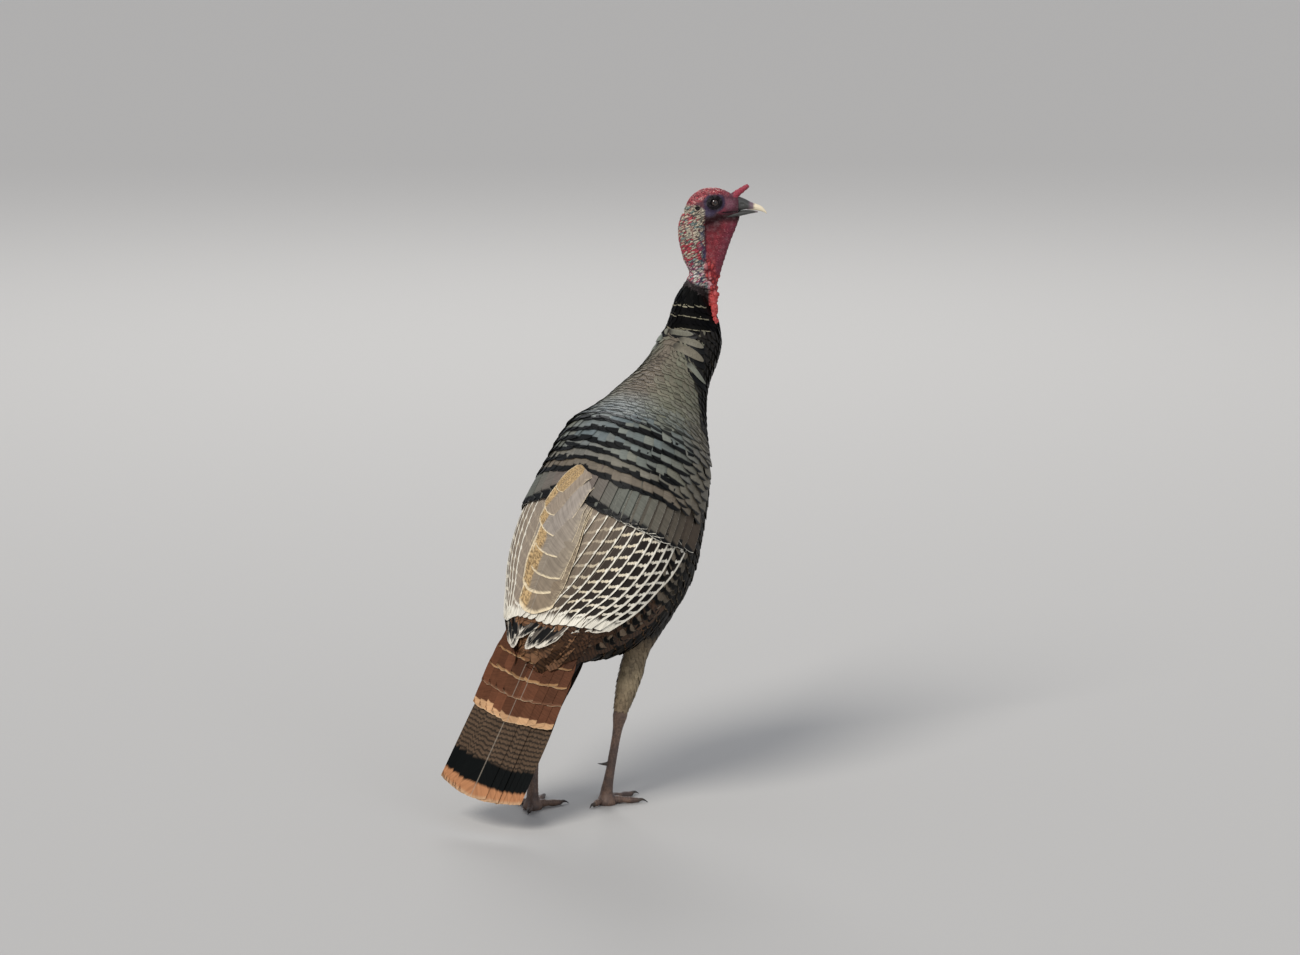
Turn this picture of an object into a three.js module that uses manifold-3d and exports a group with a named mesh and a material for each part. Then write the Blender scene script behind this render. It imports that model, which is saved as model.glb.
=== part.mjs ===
// A wild turkey gobbler, life size, standing alert with its head turned to its right.
// Millimetres, +Z up. The bird walks towards -Y, and +X is its left side.
import * as THREE from "three";
import { mergeVertices } from "three/addons/utils/BufferGeometryUtils.js";
import Module from "manifold-3d";

const wasm = await Module();
wasm.setup();

// ---------- driving dimensions ----------
const GAP = 0.35; // clearance kept between touching pieces
const ROUNDNESS = 2.3; // exponent of the body's cross-section, 2 is an ellipse

// The body and neck are one swept form. Each station: its centre (forward, height), half
// width, reach to the back and to the belly, and the turn of the neck to the right.
const STATIONS = [
  { forward: -100, height: 250, half: 30, back: 6, belly: 20, turn: 0 }, // tail root
  { forward: -63, height: 290, half: 84, back: 39, belly: 66, turn: 0 }, // rump
  { forward: -12, height: 338, half: 128, back: 68, belly: 116, turn: 0 },
  { forward: 29, height: 394, half: 146, back: 88, belly: 147, turn: 0 },
  { forward: 66, height: 452, half: 144, back: 99, belly: 150, turn: 0 }, // widest
  { forward: 108, height: 508, half: 136, back: 106, belly: 121, turn: 0 },
  { forward: 143, height: 560, half: 124, back: 102, belly: 87, turn: 0 }, // shoulder
  { forward: 176, height: 610, half: 93, back: 73, belly: 60, turn: 0 },
  { forward: 219, height: 668, half: 59, back: 52, belly: 38, turn: 0 }, // neck base
  { forward: 253, height: 728, half: 49, back: 38, belly: 37, turn: 8 },
  { forward: 257, height: 790, half: 27, back: 38, belly: 32, turn: 22 },
  { forward: 268, height: 834, half: 14, back: 22, belly: 20, turn: 34 }, // narrowest
  { forward: 260, height: 866, half: 20, back: 25, belly: 21, turn: 40 },
  { forward: 254, height: 908, half: 22.5, back: 25, belly: 23, turn: 45 },
  { forward: 257, height: 945, half: 12, back: 14, belly: 16, turn: 45 }, // in the skull
];
const NECK_CUT = 520; // along the body: where the torso ends and the neck begins
const NECK_TOP = 800; // and where the neck stops, inside the head

// The head's own frame: forward from the neck's top, left, and height from the eyes.
const HEAD_TURN = 45;
const HEAD_BASE = { forward: 250, height: 950 };

// ---------- small helpers ----------
const radians = THREE.MathUtils.degToRad;
const lerp = THREE.MathUtils.lerp;
const clamp = THREE.MathUtils.clamp;

// Smooth values between rows of numbers, by the position in each row's first place.
function between(rows, at) {
  const last = rows.length - 1;
  let i = 0;
  while (i < last - 1 && at >= rows[i + 1][0]) i++;
  const rise = (j) => rows[j].map((v, k) => (rows[j + 1][k] - v) / (rows[j + 1][0] - rows[j][0]));
  const slope = (j) => {
    const [before, after] = [rise(Math.max(j - 1, 0)), rise(Math.min(j, last - 1))];
    return before.map((v, k) => (v + after[k]) / 2);
  };
  const width = rows[i + 1][0] - rows[i][0];
  const s = clamp((at - rows[i][0]) / width, 0, 1);
  const [m0, m1] = [slope(i), slope(i + 1)];
  if (at < rows[0][0]) return rows[0].map((v, k) => v + m0[k] * (at - rows[0][0]));
  const [h00, h10] = [2 * s ** 3 - 3 * s ** 2 + 1, s ** 3 - 2 * s ** 2 + s];
  const [h01, h11] = [-2 * s ** 3 + 3 * s ** 2, s ** 3 - s ** 2];
  return rows[i].map((v, k) => h00 * v + h10 * width * m0[k] + h01 * rows[i + 1][k] + h11 * width * m1[k]);
}

// A seeded number from 0 to 1.
function seeded(seed) {
  let a = seed >>> 0;
  return () => {
    a = (a + 0x6d2b79f5) >>> 0;
    let t = Math.imul(a ^ (a >>> 15), 1 | a);
    t = (t + Math.imul(t ^ (t >>> 7), 61 | t)) ^ t;
    return ((t ^ (t >>> 14)) >>> 0) / 4294967296;
  };
}

// ---------- solids ----------
function solid(geometry) {
  const bare = geometry.clone();
  bare.deleteAttribute("normal");
  bare.deleteAttribute("uv");
  const merged = mergeVertices(bare, 1e-3);
  const triVerts = new Uint32Array(merged.index.array);
  const vertProperties = new Float32Array(merged.attributes.position.array);
  const made = new wasm.Manifold(new wasm.Mesh({ numProp: 3, vertProperties, triVerts }));
  if (made.volume() > 0) return made;
  for (let i = 0; i < triVerts.length; i += 3)
    [triVerts[i + 1], triVerts[i + 2]] = [triVerts[i + 2], triVerts[i + 1]];
  return new wasm.Manifold(new wasm.Mesh({ numProp: 3, vertProperties, triVerts }));
}

// A closed tube whose rings are placed by place(share along, angle in degrees, rim 1 or middle 0).
function tube(rows, sides, place) {
  const g = new THREE.CylinderGeometry(1, 1, 1, sides, rows);
  const p = g.attributes.position;
  for (let i = 0; i < p.count; i++) {
    const rim = Math.hypot(p.getX(i), p.getZ(i)) > 0.5 ? 1 : 0;
    const angle = rim ? THREE.MathUtils.radToDeg(Math.atan2(p.getX(i), p.getZ(i))) : 0;
    const v = place(p.getY(i) + 0.5, angle, rim);
    p.setXYZ(i, v.x, v.y, v.z);
  }
  return solid(g);
}

// A thin plate on a grid: place(across -1..1, along 0..1, face 1 or -1) puts each corner.
// Both faces are split alike, so they can't cross.
function plate(columns, rows, place) {
  const g = new THREE.PlaneGeometry(2, 1, columns, rows);
  const n = g.attributes.position.count;
  const index = [...g.index.array];
  const triangles = [...index];
  for (let i = 0; i < index.length; i += 3)
    triangles.push(index[i] + n, index[i + 2] + n, index[i + 1] + n);
  const at = (c, r) => r * (columns + 1) + c;
  const rim = [];
  for (let c = 0; c < columns; c++) rim.push(at(c, 0));
  for (let r = 0; r < rows; r++) rim.push(at(columns, r));
  for (let c = columns; c > 0; c--) rim.push(at(c, rows));
  for (let r = rows; r > 0; r--) rim.push(at(0, r));
  rim.forEach((a, k) => {
    const b = rim[(k + 1) % rim.length];
    triangles.push(a, b, b + n, a, b + n, a + n);
  });
  const points = new Float32Array(n * 6);
  for (let i = 0; i < n; i++) {
    const u = g.attributes.position.getX(i);
    const v = 0.5 - g.attributes.position.getY(i);
    [1, -1].forEach((face, k) => place(u, v, face).toArray(points, (i + k * n) * 3));
  }
  const closed = new THREE.BufferGeometry();
  closed.setAttribute("position", new THREE.BufferAttribute(points, 3));
  closed.setIndex(triangles);
  return solid(closed);
}

const join = (pieces) => wasm.Manifold.union(pieces);

// The piece without its loose scraps and sealed hollows.
function largest(piece) {
  return piece.decompose().reduce((a, b) => (b.volume() > a.volume() ? b : a));
}

const group = new THREE.Group();
function add(name, piece, material) {
  const mesh = largest(piece).getMesh();
  const g = new THREE.BufferGeometry();
  const points = new Float32Array(mesh.numVert * 3);
  for (let i = 0; i < mesh.numVert; i++)
    points.set(mesh.vertProperties.subarray(i * mesh.numProp, i * mesh.numProp + 3), i * 3);
  g.setAttribute("position", new THREE.BufferAttribute(points, 3));
  g.setIndex(new THREE.BufferAttribute(mesh.triVerts, 1));
  const made = new THREE.Mesh(g, material);
  made.name = name;
  group.add(made);
}

// ---------- the body's surface ----------
// Rows for between(): the arc length along the body comes first.
const BODY = [];
STATIONS.forEach((s, i) => {
  const before = STATIONS[i - 1];
  const along = i ? BODY[i - 1][0] + Math.hypot(s.forward - before.forward, s.height - before.height) : 0;
  BODY.push([along, s.forward, s.height, s.half, s.back, s.belly, s.turn]);
});
const BODY_END = BODY[BODY.length - 1][0];

function bodyFrame(along) {
  const row = between(BODY, along);
  const [low, high] = [between(BODY, Math.max(along - 1, 0)), between(BODY, Math.min(along + 1, BODY_END))];
  const tangent = new THREE.Vector3(0, -(high[1] - low[1]), high[2] - low[2]).normalize();
  const left = new THREE.Vector3(1, 0, 0);
  const back = new THREE.Vector3().crossVectors(tangent, left).negate();
  if (back.y < 0) back.negate();
  const turn = radians(row[6]);
  return {
    centre: new THREE.Vector3(0, -row[1], row[2]),
    tangent,
    left: left.clone().multiplyScalar(Math.cos(turn)).addScaledVector(back, Math.sin(turn)),
    back: back.clone().multiplyScalar(Math.cos(turn)).addScaledVector(left, -Math.sin(turn)),
    half: row[3],
    reach: [row[4], row[5]],
  };
}

// A point of the body's skin: angle 0 is the middle of the back, 90 the left side, 180 the belly.
function skin(along, angle) {
  const f = bodyFrame(along);
  const [s, c] = [Math.sin(radians(angle)), Math.cos(radians(angle))];
  const bulge = (x) => Math.sign(x) * Math.abs(x) ** (2 / ROUNDNESS);
  return f.centre
    .addScaledVector(f.left, bulge(s) * f.half)
    .addScaledVector(f.back, bulge(c) * f.reach[c > 0 ? 0 : 1]);
}

// Where the skin is, which way is out, and the steps along and round it for one unit of each.
function skinFrame(along, angle) {
  const here = skin(along, angle);
  const ahead = skin(along + 1, angle).sub(skin(along - 1, angle)).multiplyScalar(0.5);
  const round = skin(along, angle + 1).sub(skin(along, angle - 1)).multiplyScalar(0.5);
  const out = new THREE.Vector3().crossVectors(ahead, round).normalize();
  if (out.dot(here.clone().sub(bodyFrame(along).centre)) < 0) out.negate();
  return { here, ahead, round, out };
}

const TORSO_ROWS = 18;
const TORSO_SIDES = 24;
function torso(grow) {
  return tube(TORSO_ROWS, TORSO_SIDES, (share, angle, rim) => {
    const along = lerp(0, NECK_CUT - GAP / 2, share);
    const f = bodyFrame(along);
    if (!rim) return f.centre.addScaledVector(f.tangent, share > 0.5 ? grow : -grow);
    const s = skinFrame(along, angle);
    const end = share === 1 ? grow : share === 0 ? -grow : 0;
    return s.here.addScaledVector(s.out, grow).addScaledVector(f.tangent, end);
  });
}

// ---------- feathers that lie on the body ----------
// A vane from its root to its tip, each (along, angle). lift is its height off the skin at the
// root, where it has come out, and at the tip. shape is its share of the half width at each stop.
// Neighbours overlap like shingles: tilt raises one edge, so that a vane passes clear over the
// next one.
const QUILL = { stops: [0, 0.2, 0.6, 0.88, 1], shape: [0.6, 0.9, 1, 0.8, 0.36] };
const COVERT = { stops: [0, 0.25, 0.8, 1], shape: [0.6, 0.95, 0.95, 0.42] };
const VANE_THICK = 0.8;
function vaneLift([root, out, tip], share) {
  return share < 0.2 ? lerp(root, out, share / 0.2) : lerp(out, tip, (share - 0.2) / 0.8);
}
function vane({ root, tip, lift, half, tilt = 0, grow = 0, bow = 0, stops, shape }) {
  const rows = stops.length - 1;
  const [forward, turned] = [tip[0] - root[0], tip[1] - root[1]];
  return plate(1, rows, (u, v, face) => {
    const row = Math.round(v * rows);
    const share = stops[row];
    const along = lerp(root[0], tip[0], share);
    const angle = lerp(root[1], tip[1], share) + bow * Math.sin(Math.PI * share);
    const s = skinFrame(along, angle);
    const way = s.ahead.clone().multiplyScalar(forward).addScaledVector(s.round, turned).normalize();
    const side = new THREE.Vector3().crossVectors(s.out, way);
    const reach = u * (half * shape[row] + grow);
    const edge = skinFrame(
      along + (reach * side.dot(s.ahead)) / s.ahead.lengthSq(),
      angle + (reach * side.dot(s.round)) / s.round.lengthSq(),
    );
    const end = row === rows ? grow : row === 0 ? -grow : 0;
    return edge.here
      .addScaledVector(edge.out, vaneLift(lift, share) + tilt * reach + face * (VANE_THICK / 2 + grow))
      .addScaledVector(way, end);
  });
}

// ---------- materials ----------
function finish(color, roughness, metalness = 0) {
  return new THREE.MeshStandardMaterial({ color, roughness, metalness });
}
const FEATHER_BRONZE = finish(0x4a4038, 0.45, 0.2);
const FEATHER_WING = finish(0x7d6f60, 0.6);
const FEATHER_TAIL = finish(0x5d3d28, 0.6);
const FEATHER_BLACK = finish(0x1b1714, 0.5, 0.1);
const SKIN_RED = finish(0xa5303a, 0.5);
const SKIN_PALE = finish(0x9aa7ad, 0.55);
const HORN = finish(0xd8c6a0, 0.4);
const HORN_DARK = finish(0x3a3533, 0.45);
const EYE = finish(0x140d0a, 0.08);
const LEG = finish(0x6b5a50, 0.6);

// ---------- wings ----------
// side is 1 for the left wing and -1 for the right. Angles here run from the middle of the back
// (0) round to the wing's own side.
const WING_TILT = 0.16;
const PRIMARIES = 4;
// The left wing's secondaries close up towards the tips, under the right wing's.
const SECONDARIES = {
  right: { count: 10, root: [14, 97], tip: [0, 80], half: 12.5 },
  left: { count: 7, root: [26, 97], tip: [46, 80], half: 13.5 },
};
const GREATER_COVERTS = 8;
const MEDIAN_COVERTS = 7;

// The ridge where the folded wings meet. Low down the right wing laps over the left.
// Rows: place along the body, angle to the left.
const RIDGE = [
  [40, 32],
  [76, 24],
  [108, 15],
  [159, 8],
  [202, 4],
  [239, 2],
  [300, 0],
  [440, 0],
];
const ridge = (along) => between(RIDGE, clamp(along, 40, 440))[1];

const TERTIAL_SHAPE = [0.8, 1, 1, 0.97, 0.72];

// Tertials: where their tips lie along the body, and half their width.
const TERTIALS = [
  { tip: 239, half: 21 },
  { tip: 205, half: 24 },
  { tip: 165, half: 27 },
  { tip: 118, half: 29 },
  { tip: 82, half: 29 },
  { tip: 58, half: 27 },
];

// The folded arm under the feathers, from the shoulder to the wrist's quills.
const PAD_TOP = 440;
const PAD_END = 240;
const ROOTED = 2.2; // height off the skin at which a quill lies inside the pad
function wingPad(side, grow) {
  return plate(5, 4, (u, v, face) => {
    const along = lerp(PAD_TOP, PAD_END, v);
    const far = v < 0.5 ? lerp(84, 104, v / 0.5) : lerp(104, 96, (v - 0.5) / 0.5);
    const s = skinFrame(along, lerp(-2, far, (u + 1) / 2) * side);
    const round = (u < 0 ? 1 : 1 - u ** 4) * Math.sin(Math.PI * lerp(0.14, 0.8, v)) ** 0.5;
    return s.here.addScaledVector(s.out, face > 0 ? 3 + 2.2 * round + grow : -4 - grow);
  });
}

function wingVanes(side, grow) {
  const vanes = [];
  const put = (spec) => vanes.push(vane({ ...QUILL, tilt: -side * WING_TILT, ...spec, grow }));
  for (let i = 0; i < PRIMARIES; i++) {
    const k = i / (PRIMARIES - 1);
    put({
      root: [262, side * lerp(40, 90, k)],
      tip: [lerp(20, 62, k), side * lerp(6 + 24 * (side + 1) / 2, 66, k)],
      lift: [ROOTED, 1.8, 3.5],
      half: 10,
    });
  }
  const { count, root, tip, half } = side > 0 ? SECONDARIES.left : SECONDARIES.right;
  for (let i = 0; i < count; i++) {
    const k = i / (count - 1);
    put({
      root: [lerp(285, 296, k), side * lerp(root[0], root[1], k)],
      tip: [lerp(55, 80, k), side * lerp(tip[0], tip[1], k)],
      lift: [ROOTED, 5, 7],
      half: lerp(half, half - 1.5, k),
      bow: side * lerp(0, 6, k),
    });
  }
  TERTIALS.forEach(({ tip, half }, i) => {
    const high = 18.5 - 1.3 * i;
    const clear = (along) => {
      const edge = ridge(along);
      return edge + (side * (half + GAP)) / skinFrame(along, edge + side * 4).round.length();
    };
    const root = Math.max(tip + 90, PAD_END + 24);
    put({
      root: [root, clear(root)],
      tip: [tip, clear(tip)],
      lift: [ROOTED, high - 0.6, high],
      half,
      tilt: -side * 0.04,
      shape: TERTIAL_SHAPE,
    });
  });
  for (let i = 0; i < GREATER_COVERTS; i++) {
    const angle = side * lerp(16, 98, i / (GREATER_COVERTS - 1));
    put({ ...COVERT, root: [322, angle], tip: [246, angle], lift: [ROOTED, 8, 10.5], half: 13.5 });
  }
  for (let i = 0; i < MEDIAN_COVERTS; i++) {
    const angle = side * lerp(12, 92, i / (MEDIAN_COVERTS - 1));
    put({ ...COVERT, root: [368, angle], tip: [294, angle], lift: [ROOTED, 6.5, 10.5], half: 15 });
  }
  return vanes;
}

// The pads meet over the middle of the back.
function wing(side, grow = 0) {
  return join([wingPad(side, grow).trimByPlane([side, 0, 0], GAP / 2 - grow), ...wingVanes(side, grow)]);
}

// ---------- tail ----------
const TAIL_ROOT = new THREE.Vector3(0, 80, 278);
const TAIL_TIP = new THREE.Vector3(12, 218, 52);
const TAIL_LENGTH = TAIL_ROOT.distanceTo(TAIL_TIP);
const tailWay = TAIL_TIP.clone().sub(TAIL_ROOT).normalize();
const TAIL_ROLL = -12; // the tail's face is turned to the right by this
const tailUp = new THREE.Vector3(0, 1, 0)
  .addScaledVector(tailWay, -tailWay.y)
  .normalize()
  .applyAxisAngle(tailWay, radians(TAIL_ROLL));
const tailSide = new THREE.Vector3().crossVectors(tailUp, tailWay).normalize();
const TAIL_HALF_ROOT = 56;
const TAIL_HALF_TIP = 60;
const TAIL_ROOF = 0.0013; // the closed tail is a low roof: its drop is this times the square
const TAIL_TILT = 0.15;
const STRAIGHT_STOPS = [0, 0.84, 1]; // a tail feather is straight
const STRAIGHT_SHAPE = [0.7, 1, 0.66];

// A point of the tail: distance from its root, to its left, and above its roof.
function inTail(d, x, high) {
  return TAIL_ROOT.clone()
    .addScaledVector(tailWay, d)
    .addScaledVector(tailSide, x)
    .addScaledVector(tailUp, high - TAIL_ROOF * x * x);
}

// A straight feather from the tail's root. across, from -1 to 1, is its place in the fan.
function tailVane({ across, start, length, half, lift, tilt, grow = 0 }) {
  const raise = tilt ?? (across > 0 ? TAIL_TILT : -TAIL_TILT);
  const rows = STRAIGHT_STOPS.length - 1;
  return plate(1, rows, (u, v, face) => {
    const row = Math.round(v * rows);
    const share = STRAIGHT_STOPS[row];
    const d = start + length * share;
    const reach = u * (half * STRAIGHT_SHAPE[row] + grow);
    const x = lerp(TAIL_HALF_ROOT, TAIL_HALF_TIP, clamp(d / TAIL_LENGTH, 0, 1)) * across + reach;
    const high = lerp(lift[0], lift[1], share) + raise * reach;
    const end = row === rows ? grow : row === 0 ? -grow : 0;
    return inTail(d + end, x, high + face * (VANE_THICK / 2 + grow));
  });
}

// The fleshy root that holds the quills: rows of distance, half width, top and bottom.
const TAIL_BLOCK = [
  [-44, 40, 6, -30],
  [-20, 52, 10, -40],
  [0, 58, 12, -38],
  [24, 60, 8, -26],
  [52, 60, 1, -13],
  [66, 58, -1, -6],
];
function tailBlock(grow) {
  return tube(5, 12, (share, angle, rim) => {
    const d = lerp(TAIL_BLOCK[0][0], TAIL_BLOCK[TAIL_BLOCK.length - 1][0], share);
    const [, half, top, bottom] = between(TAIL_BLOCK, d);
    const [s, c] = [Math.sin(radians(angle)) * rim, Math.cos(radians(angle)) * rim];
    return inTail(
      d + (share === 1 ? grow : share === 0 ? -grow : 0),
      s * (half + grow),
      (top + bottom) / 2 + c * ((top - bottom) / 2 + grow),
    );
  });
}

// Rows of coverts, from the lowest to the top: how many, where they start, length, lift at the
// root and the tip, and how far the row's ends stay back.
const TAIL_COVERTS = [
  { count: 7, start: -16, length: 122, lift: [-26, -13], width: 0.8, half: 14 },
  { count: 9, start: 16, length: 104, lift: [5.5, 4], width: 0.88, half: 12 },
  { count: 7, start: -24, length: 104, lift: [6, 9.5], width: 0.82, half: 15 },
];
const RECTRIX_PAIRS = 8; // beside the middle pair

function tail(grow = 0) {
  const pieces = [tailBlock(grow)];
  const rectrix = { start: 20, half: 13, grow };
  const longest = TAIL_LENGTH - 20;
  for (const [across, high] of [[0.03, 2.6], [-0.03, 1.2]])
    pieces.push(tailVane({ ...rectrix, across, length: longest, lift: [high - 4, high - 3], tilt: 0 }));
  for (let i = 1; i <= RECTRIX_PAIRS; i++)
    for (const side of [-1, 1]) {
      const across = (side * i) / RECTRIX_PAIRS;
      const length = longest - 14 * across * across;
      pieces.push(tailVane({ ...rectrix, across, length, lift: [-4, -3] }));
    }
  for (const row of TAIL_COVERTS)
    for (let i = 0; i < row.count; i++) {
      const across = row.width * lerp(-1, 1, i / (row.count - 1));
      const length = row.length - 10 * Math.abs(across);
      const tilt = Math.abs(across) < 0.01 ? 0 : undefined;
      const lift = tilt === 0 ? row.lift.map((v) => v + 1.6) : row.lift;
      pieces.push(tailVane({ across, start: row.start, length, half: row.half, lift, tilt, grow }));
    }
  return join(pieces);
}

// ---------- head and bare neck ----------
const headForward = new THREE.Vector3(-Math.sin(radians(HEAD_TURN)), -Math.cos(radians(HEAD_TURN)), 0);
const headLeft = new THREE.Vector3().crossVectors(new THREE.Vector3(0, 0, 1), headForward);
function inHead(forward, left, up) {
  return new THREE.Vector3(0, -HEAD_BASE.forward, HEAD_BASE.height + up)
    .addScaledVector(headForward, forward)
    .addScaledVector(headLeft, left);
}

// Rows: place along the head, top, bottom, half width.
const SKULL = [
  [-10, -12, -24, 9],
  [-4, 1, -34, 16],
  [6, 12.5, -40, 20.5],
  [18, 19.5, -40, 22],
  [30, 21.5, -36, 21.5],
  [42, 21, -32, 19],
  [54, 17.5, -28, 15.5],
  [66, 12, -25, 12],
  [76, 8, -22, 9.5],
];
const BILL_UPPER = [
  [66, 9, -16, 9],
  [77, 8, -14.6, 8.6],
  [87, 4, -12.8, 7.6],
  [97, -1.2, -13.4, 6.2],
  [107, -4.6, -14.4, 4.4],
  [115, -9, -16.4, 2.8],
  [121, -16.4, -19.4, 0.9],
];
const BILL_LOWER = [
  [58, -17.4, -27, 8.6],
  [71, -15.8, -24.6, 8.2],
  [82, -14, -22.6, 7],
  [92, -13.6, -20.2, 5.2],
  [101, -14.6, -18.4, 3.4],
  [107, -15.8, -17.4, 1.6],
];

// A form swept along the head from such rows.
function headForm(rows, steps, sides, grow = 0, roundness = 2) {
  const [from, to] = [rows[0][0], rows[rows.length - 1][0]];
  const bulge = (x) => Math.sign(x) * Math.abs(x) ** (2 / roundness);
  return tube(steps, sides, (share, angle, rim) => {
    const [at, top, bottom, half] = between(rows, lerp(from, to, share));
    const [s, c] = [bulge(Math.sin(radians(angle))) * rim, bulge(Math.cos(radians(angle))) * rim];
    const end = share === 1 ? grow : share === 0 ? -grow : 0;
    return inHead(at + end, s * (half + grow), (top + bottom) / 2 + c * ((top - bottom) / 2 + grow));
  });
}

function ball(centre, radius, sides = 12, rows = 7) {
  const g = new THREE.SphereGeometry(radius, sides, rows);
  g.translate(centre.x, centre.y, centre.z);
  return solid(g);
}
function bulb(centre, radius) {
  const g = new THREE.IcosahedronGeometry(radius, 0);
  g.translate(centre.x, centre.y, centre.z);
  return solid(g);
}

const EYE_AT = [37.5, 15.2, 0];
const EYE_RADIUS = 7.2;
const eyeCentre = (side) => inHead(EYE_AT[0], EYE_AT[1] * side, EYE_AT[2]);

// The turn that lays a ring against the side of the head.
function facing(side) {
  const out = headLeft.clone().multiplyScalar(side);
  return new THREE.Matrix4().lookAt(new THREE.Vector3(), out, new THREE.Vector3(0, 0, 1));
}

// The ring of the lids round each eye.
function lids(side) {
  const g = new THREE.TorusGeometry(7.4, 2.1, 5, 12);
  g.applyMatrix4(facing(side));
  const at = inHead(EYE_AT[0], (EYE_AT[1] + 4.1) * side, EYE_AT[2]);
  g.translate(at.x, at.y, at.z);
  return solid(g);
}

// The low round cup of the ear.
function ear(side) {
  const g = new THREE.TorusGeometry(4.4, 1.5, 4, 10);
  g.applyMatrix4(facing(side));
  const at = inHead(9, 21.2 * side, -9);
  g.translate(at.x, at.y, at.z);
  return solid(g);
}

// A slit that carries the line of the mouth back into the cheek.
function gape() {
  const g = new THREE.BoxGeometry(44, 18, 0.8);
  g.rotateZ(radians(-HEAD_TURN));
  const at = inHead(61, 0, -15.6);
  g.translate(at.x, at.y, at.z);
  return solid(g);
}

// A slanting pit on each side of the bill.
function nostril(side) {
  const g = new THREE.SphereGeometry(1, 8, 6);
  g.scale(1.5, 3.4, 1.2);
  g.rotateX(radians(12));
  g.rotateZ(radians(-HEAD_TURN));
  const at = inHead(82.5, 8.3 * side, -3.4);
  g.translate(at.x, at.y, at.z);
  return solid(g);
}

function neck({ grow = 0, from, to, rows, sides, fold = 0 }) {
  return tube(rows, sides, (share, angle, rim) => {
    const along = lerp(from, to, share);
    const f = bodyFrame(along);
    const end = share === 1 ? grow : share === 0 ? -grow : 0;
    if (!rim) return f.centre.addScaledVector(f.tangent, end);
    const s = skinFrame(along, angle);
    const crest = Math.round(share * rows) % 2 ? fold : -fold;
    return s.here.addScaledVector(s.out, grow + crest).addScaledVector(f.tangent, end);
  });
}

// The bare neck is thrown into cross folds, a crest on every second ring.
const FOLD_SPACING = 14;
const FOLD_HEIGHT = 1.1;
const BARE_FROM = 640;
const BARE_ROWS = (2 * (NECK_TOP - BARE_FROM)) / FOLD_SPACING;

// Fleshy knobs round the foot of the bare neck, lower and larger in front. The neck is turned
// with the head there, so that its front is at -90.
const random = seeded(41);
const CARUNCLES = [];
for (let row = 0; row < 2; row++)
  for (let i = 0; i < 6; i++) {
    const angle = -150 + i * 60 + row * 30;
    const front = (1 - Math.sin(radians(angle))) / 2;
    CARUNCLES.push({ along: 712 - 32 * front + 13 * row + 3 * random(), angle, radius: 3.6 + 2.4 * front });
  }
function caruncles(grow = 0) {
  return CARUNCLES.map(({ along, angle, radius }) => {
    const s = skinFrame(along, angle);
    return bulb(s.here.addScaledVector(s.out, -0.15 * radius), radius + grow);
  });
}
function wattleKnobs() {
  const bulbs = [];
  for (let i = 0; i < 9; i++) {
    const k = i / 8;
    const aside = 7 * (random() - 0.5) - 8 * k;
    const at = inHead(lerp(38, 37.5, k) + 4 * (random() - 0.5), aside, lerp(-112, -196, k));
    bulbs.push(bulb(at, lerp(8, 7.2, k)));
  }
  return bulbs;
}

// The loose fold of the throat, from under the bill down to the front of the neck.
// Rows: height from the eyes (downwards), front edge, back edge, half thickness.
const THROAT = [
  [20, 80, 14, 6.5],
  [40, 73, 10, 9.5],
  [65, 63, 8, 10],
  [88, 55.5, 6, 9.5],
  [111, 48.5, 6, 8.5],
  [135, 43, 10, 7.5],
  [160, 42, 20, 6],
  [196, 40, 28, 4],
];
const THROAT_ROWS = 18;
const THROAT_TOP = THROAT[0][0];
const THROAT_END = THROAT[THROAT.length - 1][0];
function throat() {
  return tube(THROAT_ROWS, 12, (share, angle, rim) => {
    const [down, front, rear, half] = between(THROAT, lerp(THROAT_TOP, THROAT_END, share));
    const [s, c] = [Math.sin(radians(angle)) * rim, Math.cos(radians(angle)) * rim];
    const crest = Math.round(share * THROAT_ROWS) % 2 ? 1 : -1;
    return inHead((front + rear) / 2 + c * ((front - rear) / 2 + crest), s * (half + 0.7 * crest), -down);
  });
}

// The short fleshy snood, standing up over the bill's root.
function snood(grow = 0) {
  return tube(6, 8, (share, angle, rim) => {
    const at = inHead(lerp(68, 92, share), 0, lerp(8, 26, share ** 0.9));
    const radius = (share > 0.99 ? 1.8 : lerp(6, 3.7, share)) + grow;
    const way = headForward.clone().multiplyScalar(0.8).add(new THREE.Vector3(0, 0, 0.6));
    const up = headForward.clone().multiplyScalar(-0.6).add(new THREE.Vector3(0, 0, 0.8));
    return at
      .addScaledVector(headLeft, Math.sin(radians(angle)) * radius * rim)
      .addScaledVector(up, Math.cos(radians(angle)) * radius * rim)
      .addScaledVector(way, share === 1 ? grow : 0);
  });
}

// ---------- legs ----------
// Joints of each leg: x to the bird's left, forward and height; and the way its foot points.
const LEGS = {
  right: { hip: [-74, 98, 372], hock: [-45, 48, 160], ankle: [-13, 47, 22], yaw: -8 },
  left: { hip: [76, 66, 372], hock: [52, -44, 162], ankle: [48, -58, 22], yaw: 32 },
};
const at3 = ([x, forward, height]) => new THREE.Vector3(x, -forward, height);

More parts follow.
